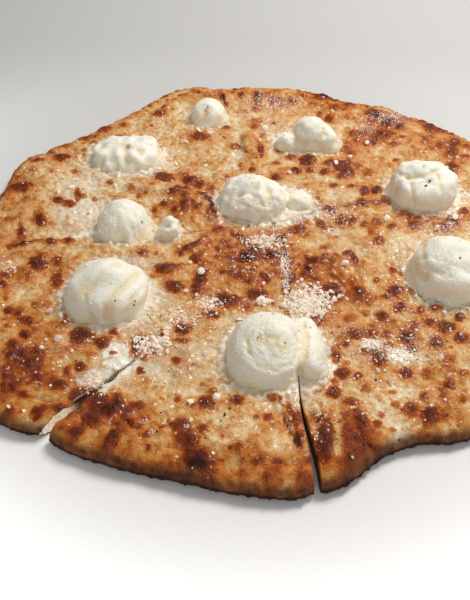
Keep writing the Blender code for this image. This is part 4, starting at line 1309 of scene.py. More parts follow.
# Toasted or yellowish places on the ricotta: their pixel, radius in millimetres, and how tan.
TAN_SPOTS = {
    "ricotta_1": (
        (206, 114, 3.2, 0.9),
    ),
    "ricotta_3": (
        (128, 146, 2.4, 1.3), (144, 150, 2.2, 0.6), (118, 158, 3.0, 0.5),
    ),
    "ricotta_4": (
        (437, 172, 2.0, 0.7), (422, 174, 1.6, 0.5),
    ),
    "ricotta_5": (
        (120, 222, 3.0, 0.35),
    ),
    "ricotta_6": (
        (250, 178, 2.6, 0.7), (268, 190, 1.6, 0.6), (300, 196, 2.6, 0.4),
    ),
    "ricotta_7": (
        (112, 302, 3.0, 0.5), (118, 266, 2.2, 0.5),
    ),
    "ricotta_8": (
        (258, 337, 1.0, 1.2), (278, 343, 2.0, 0.5), (305, 325, 1.4, 1.2), (310, 336, 2.4, 0.5),
    ),
    "ricotta_9": (
        (425, 276, 2.4, 0.7), (444, 262, 1.6, 0.4),
    ),
}
# How far lumps stand out and how long they are, the same for fine curds, how far spoon marks
# stand out, all in millimetres, and a seed.
FINISHES = {
    "ricotta_1": (0.16, 7, 0.06, 2.6, 0.02, 1),
    "ricotta_2": (0.24, 8, 0.10, 2.8, 0.02, 2),
    "ricotta_3": (0.45, 9, 0.28, 6, 0.00, 3),
    "ricotta_4": (0.32, 9, 0.12, 3.5, 0.00, 4),
    "ricotta_5": (0.20, 8, 0.08, 2.8, 0.02, 5),
    "ricotta_6": (0.34, 8, 0.16, 4, 0.00, 6),
    "ricotta_7": (0.26, 13, 0.06, 2.6, 0.02, 7),
    "ricotta_8": (0.16, 12, 0.08, 2.2, 0.09, 8),
    "ricotta_9": (0.35, 12, 0.10, 3, 0.02, 9),
    "small_curd": (0.40, 5, 0.30, 3, 0.00, 10),
}


def lay_ground():
    """A chart of the height of the solids' cheese and dough."""
    coarse = range(0, CHART_CELLS, GROUND_STEP)
    heights = np.zeros((len(coarse), len(coarse)))
    for i, row in enumerate(coarse):
        for j, column in enumerate(coarse):
            hit = drop_on(FLAT_TOP, cell_middles[column], cell_middles[row])[0]
            heights[i, j] = hit.z if hit else 0.0
    return np.repeat(np.repeat(heights, GROUND_STEP, 0), GROUND_STEP, 1)


def remeshed(name):
    """A spoonful's solid as a mesh of even small squares."""
    obj = add_object("remesh", solid(name).copy())
    modifier = obj.modifiers.new("even", "REMESH")
    modifier.mode = "VOXEL"
    modifier.voxel_size = RICOTTA_VOXEL
    bpy.context.view_layer.update()
    mesh = bpy.data.meshes.new_from_object(obj.evaluated_get(bpy.context.evaluated_depsgraph_get()))
    bpy.data.objects.remove(obj, do_unlink=True)
    return mesh


def mesh_points(mesh):
    flat = np.empty(len(mesh.vertices) * 3)
    mesh.vertices.foreach_get("co", flat)
    return flat.reshape(-1, 3)


def mesh_normals(mesh, points):
    """The points' normals once the mesh has these points."""
    mesh.vertices.foreach_set("co", points.ravel())
    mesh.update()
    flat = np.empty(len(mesh.vertices) * 3)
    mesh.vertex_normals.foreach_get("vector", flat)
    return flat.reshape(-1, 3)


def smoothed(mesh, points, rounds):
    """The points, each drawn some rounds half way to its neighbours' middle."""
    edges = np.empty(len(mesh.edges) * 2, int)
    mesh.edges.foreach_get("vertices", edges)
    start, end = edges.reshape(-1, 2).T
    count = np.bincount(start, minlength=len(points)) + np.bincount(end, minlength=len(points))
    for _ in range(rounds):
        total = np.zeros_like(points)
        for axis in range(3):
            total[:, axis] += np.bincount(start, points[end, axis], len(points))
            total[:, axis] += np.bincount(end, points[start, axis], len(points))
        points = (points + total / count[:, None]) / 2
    return points


def make_spoonful(name, ground, material):
    """Ricotta in the form of its solid: softened, folded, and its foot melted outwards."""
    mesh = remeshed(name)
    points = smoothed(mesh, mesh_points(mesh), RICOTTA_SOFTENING)
    normals = mesh_normals(mesh, points)
    points = domed(points, ground)
    points = spread_foot(points + RICOTTA_SWELL * normals, normals, ground, FINISHES[name][-1])
    points = smoothed(mesh, points, FOOT_SOFTENING)
    normals = mesh_normals(mesh, points)
    tree = tree_of([mesh])
    lift = surface_of(points, *FINISHES[name]) - folds_of(name, points, tree)
    foot = blend(0.0, SKIRT_HEIGHT, above_ground(points, ground))
    points = points + normals * (lift * at_least(SURFACE_AT_FOOT, foot))[:, None]
    mesh.vertices.foreach_set("co", points.ravel())
    mesh.update()
    mesh.shade_smooth()
    keep_mark(mesh, "tan", spots_of(name, points, tree))
    # Painted shade in the folds and dimples, and a little painted light on the raised lumps.
    keep_mark(mesh, "hollow", np.clip(-lift / HOLLOW_DEPTH, *HOLLOW_SHADE_MARKS))
    # Painted shade: the low sides near the foot are painted a darker cream.
    keep_mark(mesh, "foot", 1 - foot)
    mesh.materials.clear()
    mesh.materials.append(material)
    return add_object(f"soft_{name}", mesh)


def above_ground(points, ground):
    return points[:, 2] - read_chart(ground, points[:, 0], points[:, 1])


def domed(points, ground):
    """The spoonful with its shoulders drawn in, from a full form to a softer dome."""
    base = read_chart(ground, points[:, 0], points[:, 1])
    middle = points.mean(0)
    away = points[:, :2] - middle[:2]
    run = np.linalg.norm(away, axis=1)
    heading = ((np.arctan2(away[:, 1], away[:, 0]) / math.tau * HEADINGS) % HEADINGS).astype(int)
    reach = np.zeros(HEADINGS)
    np.maximum.at(reach, heading, run)
    reach = (np.roll(reach, 1) + reach + np.roll(reach, -1)) / 3
    flat = np.clip(run / reach[heading], 1e-3, 1.0)
    tall = points[:, 2].max() - base
    steep = np.clip((points[:, 2] - base) / tall, 1e-3, 1.0)
    angle = np.arctan2(steep, flat)
    scale = superellipse(angle, DOME_SOFT) / superellipse(angle, DOME_FULL)
    inner = np.column_stack([middle[:2] + away * scale[:, None], base + (points[:, 2] - base) * scale])
    return np.where((points[:, 2] > base)[:, None], inner, points)


def superellipse(angle, power):
    """Reach of a rounded square of size 1; the power says how square it is."""
    return (np.cos(angle) ** power + np.sin(angle) ** power) ** (-1 / power)


def spread_foot(points, normals, ground, seed):
    """The foot flares out over the cheese, raggedly, and sinks a little into it."""
    low = 1 - np.clip(above_ground(points, ground) / SKIRT_HEIGHT, 0, 1)
    away = normals * np.array((1.0, 1.0, 0.0))
    away /= np.maximum(np.linalg.norm(away, axis=1), STEEPEST)[:, None]
    ragged = grown(SKIRT_RAGGED, waves(points, SKIRT_WAVES, SKIRT_SEED + seed))
    points = points + away * (SKIRT_FLARE * low ** 3 * np.clip(ragged, *SKIRT_REACH))[:, None]
    return points - np.column_stack([0 * low, 0 * low, SKIRT_SINK * low])


def surface_of(points, lumps, lump_size, curds, curd_size, smear, seed):
    """How far the finish of a spoonful stands out: soft lumps, fine curds and spoon marks."""
    lift = lumps * MM * waves(points, lump_size * MM, seed)
    lift += curds * MM * 2 * (CURD_MIDDLE - cells(points, curd_size * MM, seed))
    lift += PIT_DEPTH * waves(points, PITS[0], PITS[1] + seed)
    reach = np.linalg.norm((points - points.mean(0))[:, :2], axis=1)
    reach += SMEAR_WOBBLE * waves(points, SMEAR_WOBBLE_LENGTH, seed)
    return lift + smear * MM * np.sin(math.tau * reach / SMEAR_PITCH)


def round_place(points, across, down, radius, tree):
    """How near the points are to what a pixel shows: 1 at it, next to 0 beyond twice the radius."""
    apart = np.linalg.norm(points - np.array(seen(across, down, tree)), axis=1)
    return bell(apart, radius * MM)


def folds_of(name, points, tree):
    """How far the folds and dimples of a spoonful go in."""
    inwards = np.zeros(len(points))
    for width, depth, *pixels in FOLDS.get(name, ()):
        path = [np.array(seen(*pixel, tree)) for pixel in pixels]
        inwards += depth * MM * bell(line_distance(points, path), width * MM)
    for across, down, radius, depth in DENTS.get(name, ()):
        inwards += depth * MM * round_place(points, across, down, radius, tree)
    return inwards


def spots_of(name, points, tree):
    """How tan each point of a spoonful is."""
    tan = np.zeros(len(points))
    for across, down, radius, amount in TAN_SPOTS.get(name, ()):
        tan = np.maximum(tan, amount * round_place(points, across, down, radius, tree))
    return tan


# -------- grated cheese and pepper

# Heaps of grated cheese: middle, width and height in pixels, how many, and the largest size in
# millimetres.
CRUMB_HEAPS = (
    (283, 264, 8, 12, 12, 1.7), (287, 287, 6, 12, 9, 1.6), (308, 302, 34, 24, 260, 1.9),
    (264, 242, 36, 11, 90, 1.5), (152, 345, 34, 15, 120, 1.4), (93, 384, 20, 15, 70, 1.1),
    (182, 318, 54, 24, 120, 1.1), (210, 303, 22, 10, 60, 1.2), (275, 103, 46, 13, 120, 0.9),
    (392, 116, 22, 10, 60, 0.9), (366, 126, 14, 18, 50, 0.8), (85, 180, 50, 12, 60, 0.7),
    (295, 395, 8, 30, 24, 0.9), (375, 345, 24, 10, 60, 1.0), (265, 303, 12, 8, 6, 3.2),
    (405, 355, 40, 16, 70, 0.9), (440, 228, 40, 20, 70, 0.9), (332, 212, 50, 16, 70, 0.9),
    (240, 112, 20, 40, 50, 0.8), (150, 124, 50, 16, 50, 0.7), (395, 370, 130, 90, 110, 0.9),
    (405, 310, 100, 50, 70, 0.9), (320, 222, 90, 40, 60, 0.9), (60, 300, 90, 60, 26, 0.9),
    (205, 370, 130, 60, 34, 0.9), (55, 350, 80, 60, 28, 1.0), (10, 266, 16, 12, 30, 1.0),
    (318, 430, 6, 40, 16, 0.8), (104, 386, 20, 11, 24, 1.1), (100, 232, 50, 12, 60, 0.8),
    (470, 225, 14, 10, 20, 1.0), (250, 262, 50, 30, 90, 0.8),
)
# Single larger crumbs: their pixel and their size in millimetres.
SINGLE_CRUMBS = (
    (50, 311, 3.6), (61, 315, 1.9), (9, 407, 2.0), (42, 348, 1.7), (66, 358, 1.6), (72, 351, 1.9),
    (179, 393, 1.9), (190, 404, 1.8), (172, 408, 1.8), (291, 419, 1.8), (268, 301, 2.2), (262, 297, 1.8),
    (60, 301, 1.3), (354, 379, 1.2), (331, 291, 1.6), (378, 371, 1.6), (405, 300, 1.3), (461, 335, 1.6),
    (348, 341, 1.5), (352, 408, 1.3), (431, 406, 1.4), (190, 421, 1.4), (282, 246, 1.8), (291, 243, 1.5),
    (236, 208, 1.6), (315, 207, 1.6), (24, 411, 1.4), (77, 336, 1.0), (171, 199, 2.0),
)
HEAP_FULLNESS = 2.0
HEAP_SIZE = 1.05
HEAP_SIZES = (0.32, 0.88)
DUSTED_CRUMBS = 3600
DUSTED_WITHIN = 0.182
DUST_SHARE = 0.12
DUSTED_SIZES = (0.45 * MM, 1.4 * MM)
FUSED_SIZE = 3.2 * MM
FUSED_APART = 5 * MM
CRUMB_SEED = 21
CRUMB_ROUGHNESS = 0.30
# Ground pepper: its pixel and its size in millimetres.
PEPPER = (
    (217, 410, 0.9), (225, 415, 1.1), (230, 408, 1.0), (221, 421, 0.9), (80, 243, 0.9), (35, 286, 0.8),
    (51, 293, 0.8), (61, 363, 0.8), (76, 361, 0.9), (376, 380, 1.2), (331, 423, 0.9), (399, 440, 1.0),
    (252, 183, 1.3), (208, 107, 1.1), (430, 181, 1.2), (426, 186, 1.2), (135, 301, 1.0), (134, 305, 0.8),
    (142, 222, 0.9), (285, 343, 0.8), (299, 331, 0.9), (460, 258, 1.1), (424, 166, 0.8), (206, 438, 0.9),
    (161, 413, 0.9), (157, 431, 0.8), (155, 382, 0.8), (171, 369, 0.8), (3, 352, 0.9), (55, 350, 0.7),
    (242, 462, 0.9), (248, 447, 0.9), (225, 413, 0.7), (214, 409, 0.7), (335, 424, 0.7), (427, 356, 1.0),
    (128, 336, 0.7), (230, 447, 0.6), (218, 470, 0.9), (258, 338, 0.8),
)
PEPPER_SCATTER = 60
PEPPER_SIZES = (0.4, 0.5)
PEPPER_WITHIN = 0.17
PEPPER_SEED = 22
PEPPER_ROUGHNESS = 0.15
GRAIN_STRETCH = (0.35, 1.8)
GRAIN_LIFT = 0.22


def strewn(draw, count, radius, tree):
    """Evenly strewn places: the point in plan, where it lies, which way is up, and a share."""
    for angle, reach, share in draw.uniform((0, 0, 0), (math.tau, 1, 1), (count, 3)):
        run = radius * math.sqrt(reach)
        plan = Vector((run * math.cos(angle), run * math.sin(angle)))
        hit, normal = drop_on(tree, *plan)
        if hit:
            yield plan, hit, normal, share


def crumb_places(tree, slices, charts):
    """Where every crumb lies, which way is up there, and how large it is."""
    draw = np.random.default_rng(CRUMB_SEED)
    places = []

    def drop(across, down, size):
        hit, normal = look_at(tree, across, down)
        if hit:
            places.append((hit, normal, size))

    for across, down, width, height, count, largest in CRUMB_HEAPS:
        for right, near, share in draw.standard_normal((int(HEAP_FULLNESS * count), 3)):
            size = HEAP_SIZE * (largest * MM) * grown(HEAP_SIZES, abs(math.cos(3 * share)) ** 4)
            drop(across + right * width / 3, down + near * height / 3, size)
    for across, down, size in SINGLE_CRUMBS:
        drop(across, down, size * MM)
    for plan, hit, normal, share in strewn(draw, DUSTED_CRUMBS, DUSTED_WITHIN, tree):
        size = DUSTED_SIZES[0] + (DUSTED_SIZES[1] - DUSTED_SIZES[0]) * share ** 3
        if draw.random() < DUST_SHARE + read_chart(charts.veil, *plan):
            places.append((hit, normal, size))
    return places + fused_crumbs(tree, slices)


def fused_crumbs(tree, slices):
    """The largest crumbs, where the cheese solids have theirs."""
    places = []
    for piece in slices:
        found = []
        for vertex in solid(f"cheese_{piece.number}").vertices:
            dough = drop_on(piece.tree, vertex.co.x, vertex.co.y)[0]
            if dough and vertex.co.z - dough.z > CRUMB_STANDS:
                found.append(vertex.co.copy())
        while found:
            near = [point for point in found if (point - found[0]).length < FUSED_APART]
            found = [point for point in found if (point - found[0]).length >= FUSED_APART]
            middle = sum(near, Vector()) / len(near)
            places.append((*drop_on(tree, middle.x, middle.y), FUSED_SIZE))
    return places


GOLDEN = (1 + math.sqrt(5)) / 2
BALL_SIDE = 2.0


def make_grains(name, places, seed, rough, material):
    """Many small angular grains in one mesh, each sunk a little into what it lies on."""
    draw = np.random.default_rng(seed)
    corners, faces = ball()
    count = len(places)
    middles, normals, sizes = (np.array(column) for column in zip(*places))
    stretch = draw.uniform(*GRAIN_STRETCH, (count, 1, 3))
    dents = draw.uniform(1 - rough, 1 + rough, (count, len(corners), 1))
    turns = random_turns(draw, count)
    grains = np.einsum("nij,nkj->nki", turns, corners[None] * dents * stretch)
    grains *= (sizes / 2)[:, None, None]
    points = grains + (middles + normals * (sizes * GRAIN_LIFT)[:, None])[:, None]
    numbers = faces[None] + (np.arange(count) * len(corners))[:, None, None]
    mesh = bpy.data.meshes.new(name)
    mesh.from_pydata(points.reshape(-1, 3).tolist(), [], numbers.reshape(-1, 3).tolist())
    mesh.update()
    mesh.materials.append(material)
    return add_object(name, mesh)


def ball():
    """A twenty-sided ball of radius 1: its corners and its faces."""
    signs = list(product((-1, 1), repeat=2))
    corners = [(0, a, b * GOLDEN) for a, b in signs]
    corners += [(a, b * GOLDEN, 0) for a, b in signs]
    corners += [(b * GOLDEN, 0, a) for a, b in signs]
    corners = np.array(corners, float)
    apart = np.linalg.norm(corners[:, None] - corners[None], axis=2)
    faces = []
    for a, b, c in combinations(range(12), 3):
        if max(apart[a, b], apart[b, c], apart[a, c]) < BALL_SIDE * 1.01:
            outward = np.cross(corners[b] - corners[a], corners[c] - corners[a]) @ corners[a]
            faces.append((a, b, c) if outward > 0 else (a, c, b))
    return corners / np.linalg.norm(corners[0]), np.array(faces)


def random_turns(draw, count):
    """Even random turns, as matrices."""
    w, x, y, z = (draw.standard_normal((count, 4)) @ np.eye(4)).T
    size = np.sqrt(w * w + x * x + y * y + z * z)
    w, x, y, z = w / size, x / size, y / size, z / size
    rows = [
        [1 - 2 * (y * y + z * z), 2 * (x * y - z * w), 2 * (x * z + y * w)],
        [2 * (x * y + z * w), 1 - 2 * (x * x + z * z), 2 * (y * z - x * w)],
        [2 * (x * z - y * w), 2 * (y * z + x * w), 1 - 2 * (x * x + y * y)],
    ]
    return np.moveaxis(np.array(rows), 2, 0)


def pepper_places(tree):
    """Where every grain of pepper lies, which way is up there, and how large it is."""
    draw = np.random.default_rng(PEPPER_SEED)
    places = []
    for across, down, size in PEPPER:
        hit, normal = look_at(tree, across, down)
        if hit:
            places.append((hit, normal, size * MM))
    for _, hit, normal, share in strewn(draw, PEPPER_SCATTER, PEPPER_WITHIN, tree):
        places.append((hit, normal, grown(PEPPER_SIZES, share) * MM))
    return places


# -------- materials

def shade(red, green, blue):
    """A colour as a screen shows it, from 0 to 255, in the shader's own light values."""
    def light(part):
        part /= 255
        return part / 12.92 if part <= 0.04045 else ((part + 0.055) / 1.055) ** 2.4
    return (light(red), light(green), light(blue), 1.0)


class Value:
    """A socket in a material. Sums and products with it add Math nodes."""

    def __init__(self, paint, socket):
        self.paint = paint
        self.socket = socket

    def __add__(self, other):
        return self.paint.math("ADD", self, other)

    def __radd__(self, other):
        return self.paint.math("ADD", other, self)

    def __sub__(self, other):
        return self.paint.math("SUBTRACT", self, other)

    def __rsub__(self, other):
        return self.paint.math("SUBTRACT", other, self)

    def __mul__(self, other):
        return self.paint.math("MULTIPLY", self, other)

    def __rmul__(self, other):
        return self.paint.math("MULTIPLY", other, self)


class Paint:
    """Builds one material's nodes."""

    def __init__(self, name):
        self.material = bpy.data.materials.new(name)
        self.material.use_nodes = True
        self.tree = self.material.node_tree
        self.tree.nodes.clear()
        self.place = self.node("ShaderNodeTexCoord", {}, {}).outputs["Object"]

    def node(self, kind, settings, sockets):
        """Adds a node, sets it up, then fills or links its sockets."""
        node = self.tree.nodes.new(kind)
        for name, value in settings.items():
            if name == "stops":
                self.set_stops(node.color_ramp, value)
            else:
                setattr(node, name, value)
        for name, value in sockets.items():
            if isinstance(value, Value):
                self.tree.links.new(value.socket, node.inputs[name])
            elif isinstance(value, bpy.types.NodeSocket):
                self.tree.links.new(value, node.inputs[name])
            else:
                node.inputs[name].default_value = value
        return node

    def set_stops(self, ramp, stops):
        while len(ramp.elements) > 1:
            ramp.elements.remove(ramp.elements[0])
        ramp.elements[0].position = stops[0][0]
        ramp.elements[0].color = stops[0][1]
        for position, colour in stops[1:]:
            ramp.elements.new(position).color = colour

    def math(self, operation, first, second):
        node = self.node("ShaderNodeMath", {"operation": operation}, {0: first, 1: second})
        return Value(self, node.outputs[0])

    def mark(self, name):
        """One of the marks kept on a piece's points."""
        node = self.node("ShaderNodeAttribute", {"attribute_name": name}, {})
        return Value(self, node.outputs["Fac"])

    def noise(self, length, detail=2.0, roughness=0.5):
        """Soft noise from 0 to 1, with hills of about this length."""
        sockets = {"Vector": self.place, "Scale": 1 / length, "Detail": detail, "Roughness": roughness}
        return Value(self, self.node("ShaderNodeTexNoise", {}, sockets).outputs["Fac"])

    def uneven(self, length, detail, roughness):
        """The same noise from -0.5 to 0.5."""
        return self.noise(length, detail, roughness) - 0.5

    def grains(self, length):
        """Distance to the nearest of many seeds this far apart."""
        sockets = {"Vector": self.place, "Scale": 1 / length}
        return Value(self, self.node("ShaderNodeTexVoronoi", {}, sockets).outputs["Distance"])

    def dots(self, length, edge, middle):
        """Round dots about this far apart: 0 outside their edge and 1 in their middle."""
        return self.step(self.grains(length), edge, middle)

    def step(self, value, low, high):
        """0 at low, 1 at high, and an even curve between them."""
        settings = {"interpolation_type": "SMOOTHSTEP"}
        sockets = {"Value": value, "From Min": low, "From Max": high}
        return Value(self, self.node("ShaderNodeMapRange", settings, sockets).outputs["Result"])

    def ramp(self, value, stops):
        node = self.node("ShaderNodeValToRGB", {"stops": stops}, {"Fac": value})
        return Value(self, node.outputs["Color"])

    def mix(self, share, low, high):
        """A blend of two colours."""
        sockets = {"Factor": share, 6: low, 7: high}
        return Value(self, self.node("ShaderNodeMix", {"data_type": "RGBA"}, sockets).outputs[2])

    def bump(self, height):
        """A normal from a height in millimetres."""
        sockets = {"Height": height, "Strength": 1.0, "Distance": MM}
        return Value(self, self.node("ShaderNodeBump", {}, sockets).outputs["Normal"])

    def finish(self, sockets):
        """The shader and the output."""
        shader = self.node("ShaderNodeBsdfPrincipled", {}, sockets)
        self.node("ShaderNodeOutputMaterial", {}, {"Surface": shader.outputs[0]})
        return self.material


# How the cheese and the dough brown, from melted white to charred.
BROWNING = (
    (0.00, shade(243, 231, 208)), (0.18, shade(236, 214, 176)), (0.32, shade(226, 188, 133)),
    (0.45, shade(213, 154, 86)), (0.57, shade(199, 121, 47)), (0.68, shade(173, 86, 22)),
    (0.79, shade(128, 52, 11)), (0.90, shade(75, 26, 5)), (1.00, shade(37, 12, 4)),
)
MELTED_CREAM = shade(208, 189, 156)
MELTED_WHITE = shade(250, 244, 232)
VEIL_WHITE = shade(240, 223, 210)
CRUMB_WHITE = shade(255, 246, 230)
HOLE_TAN = shade(230, 200, 158)
# The rim's outer wall and the underside, tan above and dark brown low down: baked brown, and partly painted
# shade on the lower rim.
UNDER_TAN = shade(162, 97, 46)
UNDER_BROWN_AND_SHADE = shade(58, 23, 9)
RICOTTA_WHITE = shade(255, 250, 232)
# The ricotta's cream, also the colour of its painted shade.
RICOTTA_CREAM_AND_SHADE = shade(242, 219, 170)
RICOTTA_TAN = shade(206, 160, 92)
GRATED_PALE = shade(255, 246, 233)
GRATED_DARK = shade(238, 220, 199)
PEPPER_DARK = shade(28, 22, 20)
PEPPER_PALE = shade(74, 58, 44)
BLACK = shade(0, 0, 0)
# Painted light: the cut crumb of the dough glows a little, to lift the cut walls out of the shade of the
# narrow cuts.
CRUMB_PAINTED_LIGHT = 0.16
# Painted light: the grated cheese glows a little, which lifts its shaded sides.
GRATED_PAINTED_LIGHT = 0.10
CREST_EDGE = (0.09, 0.17)
CREST_LEVEL = (0.53, 0.29)
CORE_EDGE = (0.30, 0.56)
CORE_LEVEL = 0.08
POOL_EDGE = (0.22, 1.05)
POOL_COVER = 0.9
MELTED_EDGE = (0.45, 0.95)
SPECK_EDGE = (0.55, 0.30)
SPECK_COVER = 0.80
WET_EDGE = (0.02, 0.42)
# How far red, green and blue light goes on under a surface, as shares of the scale.
BAKED_DEPTHS = (1.0, 0.55, 0.25)
RICOTTA_DEPTHS = (1.0, 0.8, 0.55)
GRATED_DEPTHS = (1.0, 0.8, 0.5)


def baked_surface(paint):
    """The browned colour, its roughness and its bump, and how wet it is, for cheese and dough."""
    fine = paint.uneven(0.9 * MM, 3.0, 0.65)
    patchy = paint.uneven(5.0 * MM, 4.0, 0.62)
    char = paint.mark("char")
    milk = paint.mark("milk")

    def mottled(value, patches, grain):
        """The value with a share of both noises."""
        return value + patchy * patches + fine * grain

    crest = paint.step(mottled(char, 0.10, 0.20), *CREST_EDGE)
    ground = mottled(paint.mark("toast"), 0.11, 0.14)
    core = paint.step(mottled(char, 0.16, 0.26), *CORE_EDGE)
    burnt = mottled(CREST_LEVEL[0] + CREST_LEVEL[1] * char + CORE_LEVEL * core, 0.24, 0.30)
    level = ground * (1 - crest) + paint.math("MAXIMUM", ground, burnt) * crest
    colour = paint.ramp(level, BROWNING)
    pool = paint.step(mottled(milk * 1.25, 0.6, 0.2), *POOL_EDGE) * (1 - crest)
    melted = paint.mix(paint.step(milk, *MELTED_EDGE), MELTED_CREAM, MELTED_WHITE)
    colour = paint.mix(pool * POOL_COVER, colour, melted)
    shreds = paint.grains(1.1 * MM) + (1 - paint.mark("veil")) * 0.55 + fine * 0.35
    specks = paint.step(shreds, *SPECK_EDGE)
    colour = paint.mix(specks * SPECK_COVER, colour, VEIL_WHITE)
    roughness = 0.44 + fine * 0.30 + specks * 0.25 - pool * 0.10
    wet = paint.step(patchy + fine * 0.9 + milk * 0.35 + crest * 0.06, *WET_EDGE)
    bubbles = paint.dots(1.5 * MM, 0.60, 0.05)
    beads = paint.dots(0.8 * MM, 0.55, 0.10)
    height = bubbles * 0.26 + beads * 0.12 + fine * 0.15
    height = height * (1 - pool * 0.7) + patchy * 0.25 + specks * 0.15
    return colour, roughness, height, wet


def cheese_material():
    """Melted and toasted cheese, paler at the cuts."""
    paint = Paint("toasted_cheese")
    colour, roughness, height, wet = baked_surface(paint)
    edge = paint.step(paint.mark("crumb"), 0.05, 0.45)
    colour = paint.mix(edge * 0.6, colour, CRUMB_WHITE)
    return paint.finish({
        "Base Color": colour, "Roughness": roughness, "Normal": paint.bump(height),
        "Subsurface Weight": 0.10, "Subsurface Radius": BAKED_DEPTHS, "Subsurface Scale": 0.8 * MM,
        "Specular IOR Level": 0.20, "Coat Weight": wet * 0.65, "Coat Roughness": 0.12,
    })


def dough_material():
    """Baked dough: toasted above, pale and airy where it was cut, and brown underneath, that brown partly
    painted shade on the low rim.
    """
    paint = Paint("baked_dough")
    colour, roughness, height, wet = baked_surface(paint)
    crumb = paint.step(paint.mark("crumb"), 0.25, 0.85)
    under = paint.mark("under")
    airy = paint.grains(1.8 * MM) + paint.noise(1.4 * MM, 4.0, 0.6) * 0.4
    inside = paint.mix(paint.step(airy, 0.75, 0.25), CRUMB_WHITE, HOLE_TAN)
    spots = paint.uneven(6 * MM, 4.0, 0.6)
    # Tan to dark brown towards the underside: the bake, and partly painted shade on the lower rim.
    crust = paint.mix(paint.step(under + spots * 0.5, 0.05, 0.48), UNDER_TAN, UNDER_BROWN_AND_SHADE)
    lower = paint.step(under + spots * 0.25, 0.0, 0.40)
    colour = paint.mix(lower, colour, crust)
    colour = paint.mix(crumb, colour, inside)
    pimples = paint.dots(1.2 * MM, 0.65, 0.1)
    height = height + pimples * 0.12
    return paint.finish({
        "Base Color": colour, "Roughness": roughness + 0.12, "Normal": paint.bump(height),
        "Subsurface Weight": 0.08, "Subsurface Radius": BAKED_DEPTHS, "Subsurface Scale": 0.8 * MM,
        "Specular IOR Level": 0.20, "Coat Weight": wet * 0.25, "Coat Roughness": 0.22,
        # Painted light: the pale crumb of the cut walls glows a little.
        "Emission Color": paint.mix(crumb, BLACK, inside), "Emission Strength": CRUMB_PAINTED_LIGHT,
    })


def ricotta_material():
    """Soft white ricotta with creamy patches, painted a darker cream in its hollows and at its foot as
    painted shade, and paler on its raised lumps as painted light.
    """
    paint = Paint("soft_ricotta")
    cloud = paint.uneven(7 * MM, 3.0, 0.55)
    grain = paint.uneven(1.0 * MM, 4.0, 0.65)
    curds = paint.dots(1.3 * MM, 0.60, 0.10)
    # Painted shade: hollows and the foot turn a darker cream; the two noises add real creamy patches.
    cream_and_shade = paint.mark("hollow") * 0.50 + cloud * 0.7 + grain * 0.5 + paint.mark("foot") * 0.5
    colour = paint.mix(paint.step(cream_and_shade, 0.0, 0.9), RICOTTA_WHITE, RICOTTA_CREAM_AND_SHADE)
    tan = paint.step(paint.mark("tan") + grain * 0.4 + cloud * 0.3, 0.15, 1.1)
    colour = paint.mix(tan, colour, RICOTTA_TAN)
    height = grain * 0.32 + cloud * 0.3 + curds * 0.12
    return paint.finish({
        "Base Color": colour, "Roughness": 0.46 + grain * 0.2, "Normal": paint.bump(height),
        "Subsurface Weight": 0.60, "Subsurface Radius": RICOTTA_DEPTHS, "Subsurface Scale": 3.0 * MM,
        "Specular IOR Level": 0.5,
    })


def crumb_material():
    """Dry grated hard cheese, glowing a little as painted light to lift its shaded sides."""
    paint = Paint("grated_cheese")
    tint = paint.noise(3 * MM)
    colour = paint.mix(tint, GRATED_PALE, GRATED_DARK)
    normal = paint.bump(paint.noise(0.4 * MM) * 0.1)
    return paint.finish({
        "Base Color": colour, "Roughness": 0.55 + tint * 0.1, "Normal": normal,
        "Subsurface Weight": 0.2, "Subsurface Radius": GRATED_DEPTHS, "Subsurface Scale": 0.8 * MM,
        "Emission Color": colour, "Emission Strength": GRATED_PAINTED_LIGHT,
    })


def pepper_material():
    """Coarse ground black pepper."""
    paint = Paint("ground_pepper")
    tint = paint.noise(0.6 * MM)
    colour = paint.mix(tint, PEPPER_DARK, PEPPER_PALE)
    return paint.finish({
        "Base Color": colour, "Roughness": 0.6 + tint * 0.1, "Normal": paint.bump(tint * 0.1),
    })


# -------- stage, light and camera

FLOOR_HALF = 4.0
FLOOR_GLOW = 0.62
# Painted shadow: the floor's glow starts only between these distances from the middle, so the floor round
# the pizza stays dimmer.
GLOW_FROM = (0.18, 0.28)
GREY_FROM = (-0.20, 0.30)
FLOOR_PALE = shade(246, 246, 245)
FLOOR_GREY = shade(196, 196, 195)
WORLD_LIGHT = 0.28
WORLD_COLOUR = (1.0, 0.99, 0.97, 1.0)
# Soft square lights: name, place, side, power and colour.
LIGHTS = (
    ("key", (0.46, 0.50, 0.92), 0.38, 11.0, (1.0, 0.965, 0.93)),
    ("fill", (0.10, -1.10, 0.80), 0.9, 2.3, (1.0, 0.99, 0.98)),
)


def floor_material():
    """Plain pale floor, a little greyer towards the back, glowing towards the front but not round the
    pizza: a painted shadow.
    """
    paint = Paint("pale_floor")
    split = paint.node("ShaderNodeSeparateXYZ", {}, {"Vector": paint.place})
    far = paint.step(Value(paint, split.outputs["Y"]), *GREY_FROM)
    colour = paint.mix(far, FLOOR_PALE, FLOOR_GREY)
    reach = paint.node("ShaderNodeVectorMath", {"operation": "LENGTH"}, {0: paint.place})
    clear = paint.step(Value(paint, reach.outputs["Value"]), *GLOW_FROM)
    # The glow left out round the pizza is a painted shadow.
    glow = paint.mix(clear * (1 - far), BLACK, colour)
    return paint.finish({
        "Base Color": colour, "Roughness": 0.9, "Emission Color": glow, "Emission Strength": FLOOR_GLOW,
    })


def make_stage():
    corners = [(a * FLOOR_HALF, b * FLOOR_HALF, 0) for a, b in ((-1, -1), (1, -1), (1, 1), (-1, 1))]
    mesh = bpy.data.meshes.new("floor")
    mesh.from_pydata(corners, [], [(0, 1, 2, 3)])
    mesh.materials.append(floor_material())
    add_object("floor", mesh)


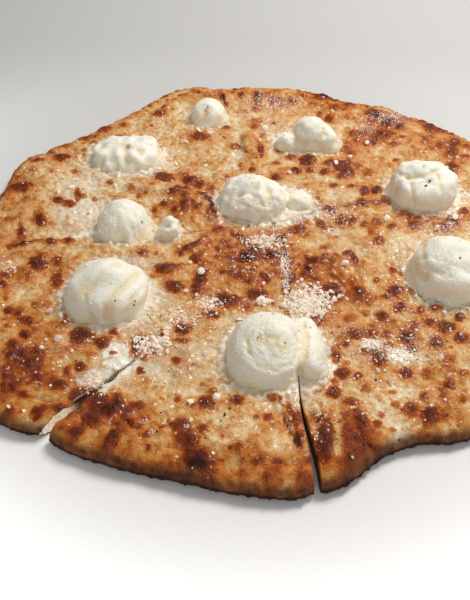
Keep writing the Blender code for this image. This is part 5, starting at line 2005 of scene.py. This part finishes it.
def make_light(name, place, size, power, colour):
    """A square soft light that looks at the pizza."""
    light = bpy.data.lights.new(name, "AREA")
    light.size = size
    light.energy = power
    light.color = colour
    obj = add_object(name, light)
    obj.location = place
    obj.rotation_euler = (-Vector(place)).to_track_quat("-Z", "Y").to_euler()


def make_world():
    world = bpy.data.worlds.new("studio")
    world.use_nodes = True
    background = world.node_tree.nodes["Background"]
    background.inputs["Color"].default_value = WORLD_COLOUR
    background.inputs["Strength"].default_value = WORLD_LIGHT
    bpy.context.scene.world = world


def make_camera():
    camera = bpy.data.cameras.new("camera")
    camera.sensor_width = SENSOR
    camera.lens = LENS
    camera.clip_start = 0.01
    obj = add_object("camera", camera)
    obj.location = CAMERA_PLACE
    obj.rotation_euler = CAMERA_TURN
    bpy.context.scene.camera = obj


# -------- the pizza

def settle(piece, slot, *nodes):
    """The piece rides on the pizza's one body, in place of its solids."""
    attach(piece, "root")
    if nodes:
        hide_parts(*nodes)


def make_pieces(slices, charts):
    """The cheese and the dough of every slice, and the ricotta that lies on them."""
    cheese_paint, dough_paint, ricotta_paint = cheese_material(), dough_material(), ricotta_material()
    pieces = []
    for piece in slices:
        cheese = make_cheese(piece, charts, cheese_paint)
        settle(cheese, "melted_cheese", f"cheese_{piece.number}")
        dough = make_crust(piece, charts, dough_paint)
        settle(dough, "crust", f"crust_{piece.number}")
        pieces += [cheese, dough]
    ground = lay_ground()
    for name in SPOONFULS:
        spoonful = make_spoonful(name, ground, ricotta_paint)
        settle(spoonful, "ricotta", name)
        pieces.append(spoonful)
    return pieces


def strew_grains(tree, slices, charts):
    """Grated cheese and pepper over everything."""
    places = crumb_places(tree, slices, charts)
    crumbs = make_grains("grated_cheese", places, CRUMB_SEED, CRUMB_ROUGHNESS, crumb_material())
    settle(crumbs, "melted_cheese")
    places = pepper_places(tree)
    pepper = make_grains("ground_pepper", places, PEPPER_SEED, PEPPER_ROUGHNESS, pepper_material())
    settle(pepper, "melted_cheese")


def main():
    bpy.context.scene.view_settings.view_transform = "Standard"
    make_camera()
    make_world()
    for light in LIGHTS:
        make_light(*light)
    make_stage()
    slices = [Slice(number) for number in NUMBERS]
    charts = Charts(slices)
    pieces = make_pieces(slices, charts)
    strew_grains(tree_of([piece.data for piece in pieces]), slices, charts)


main()
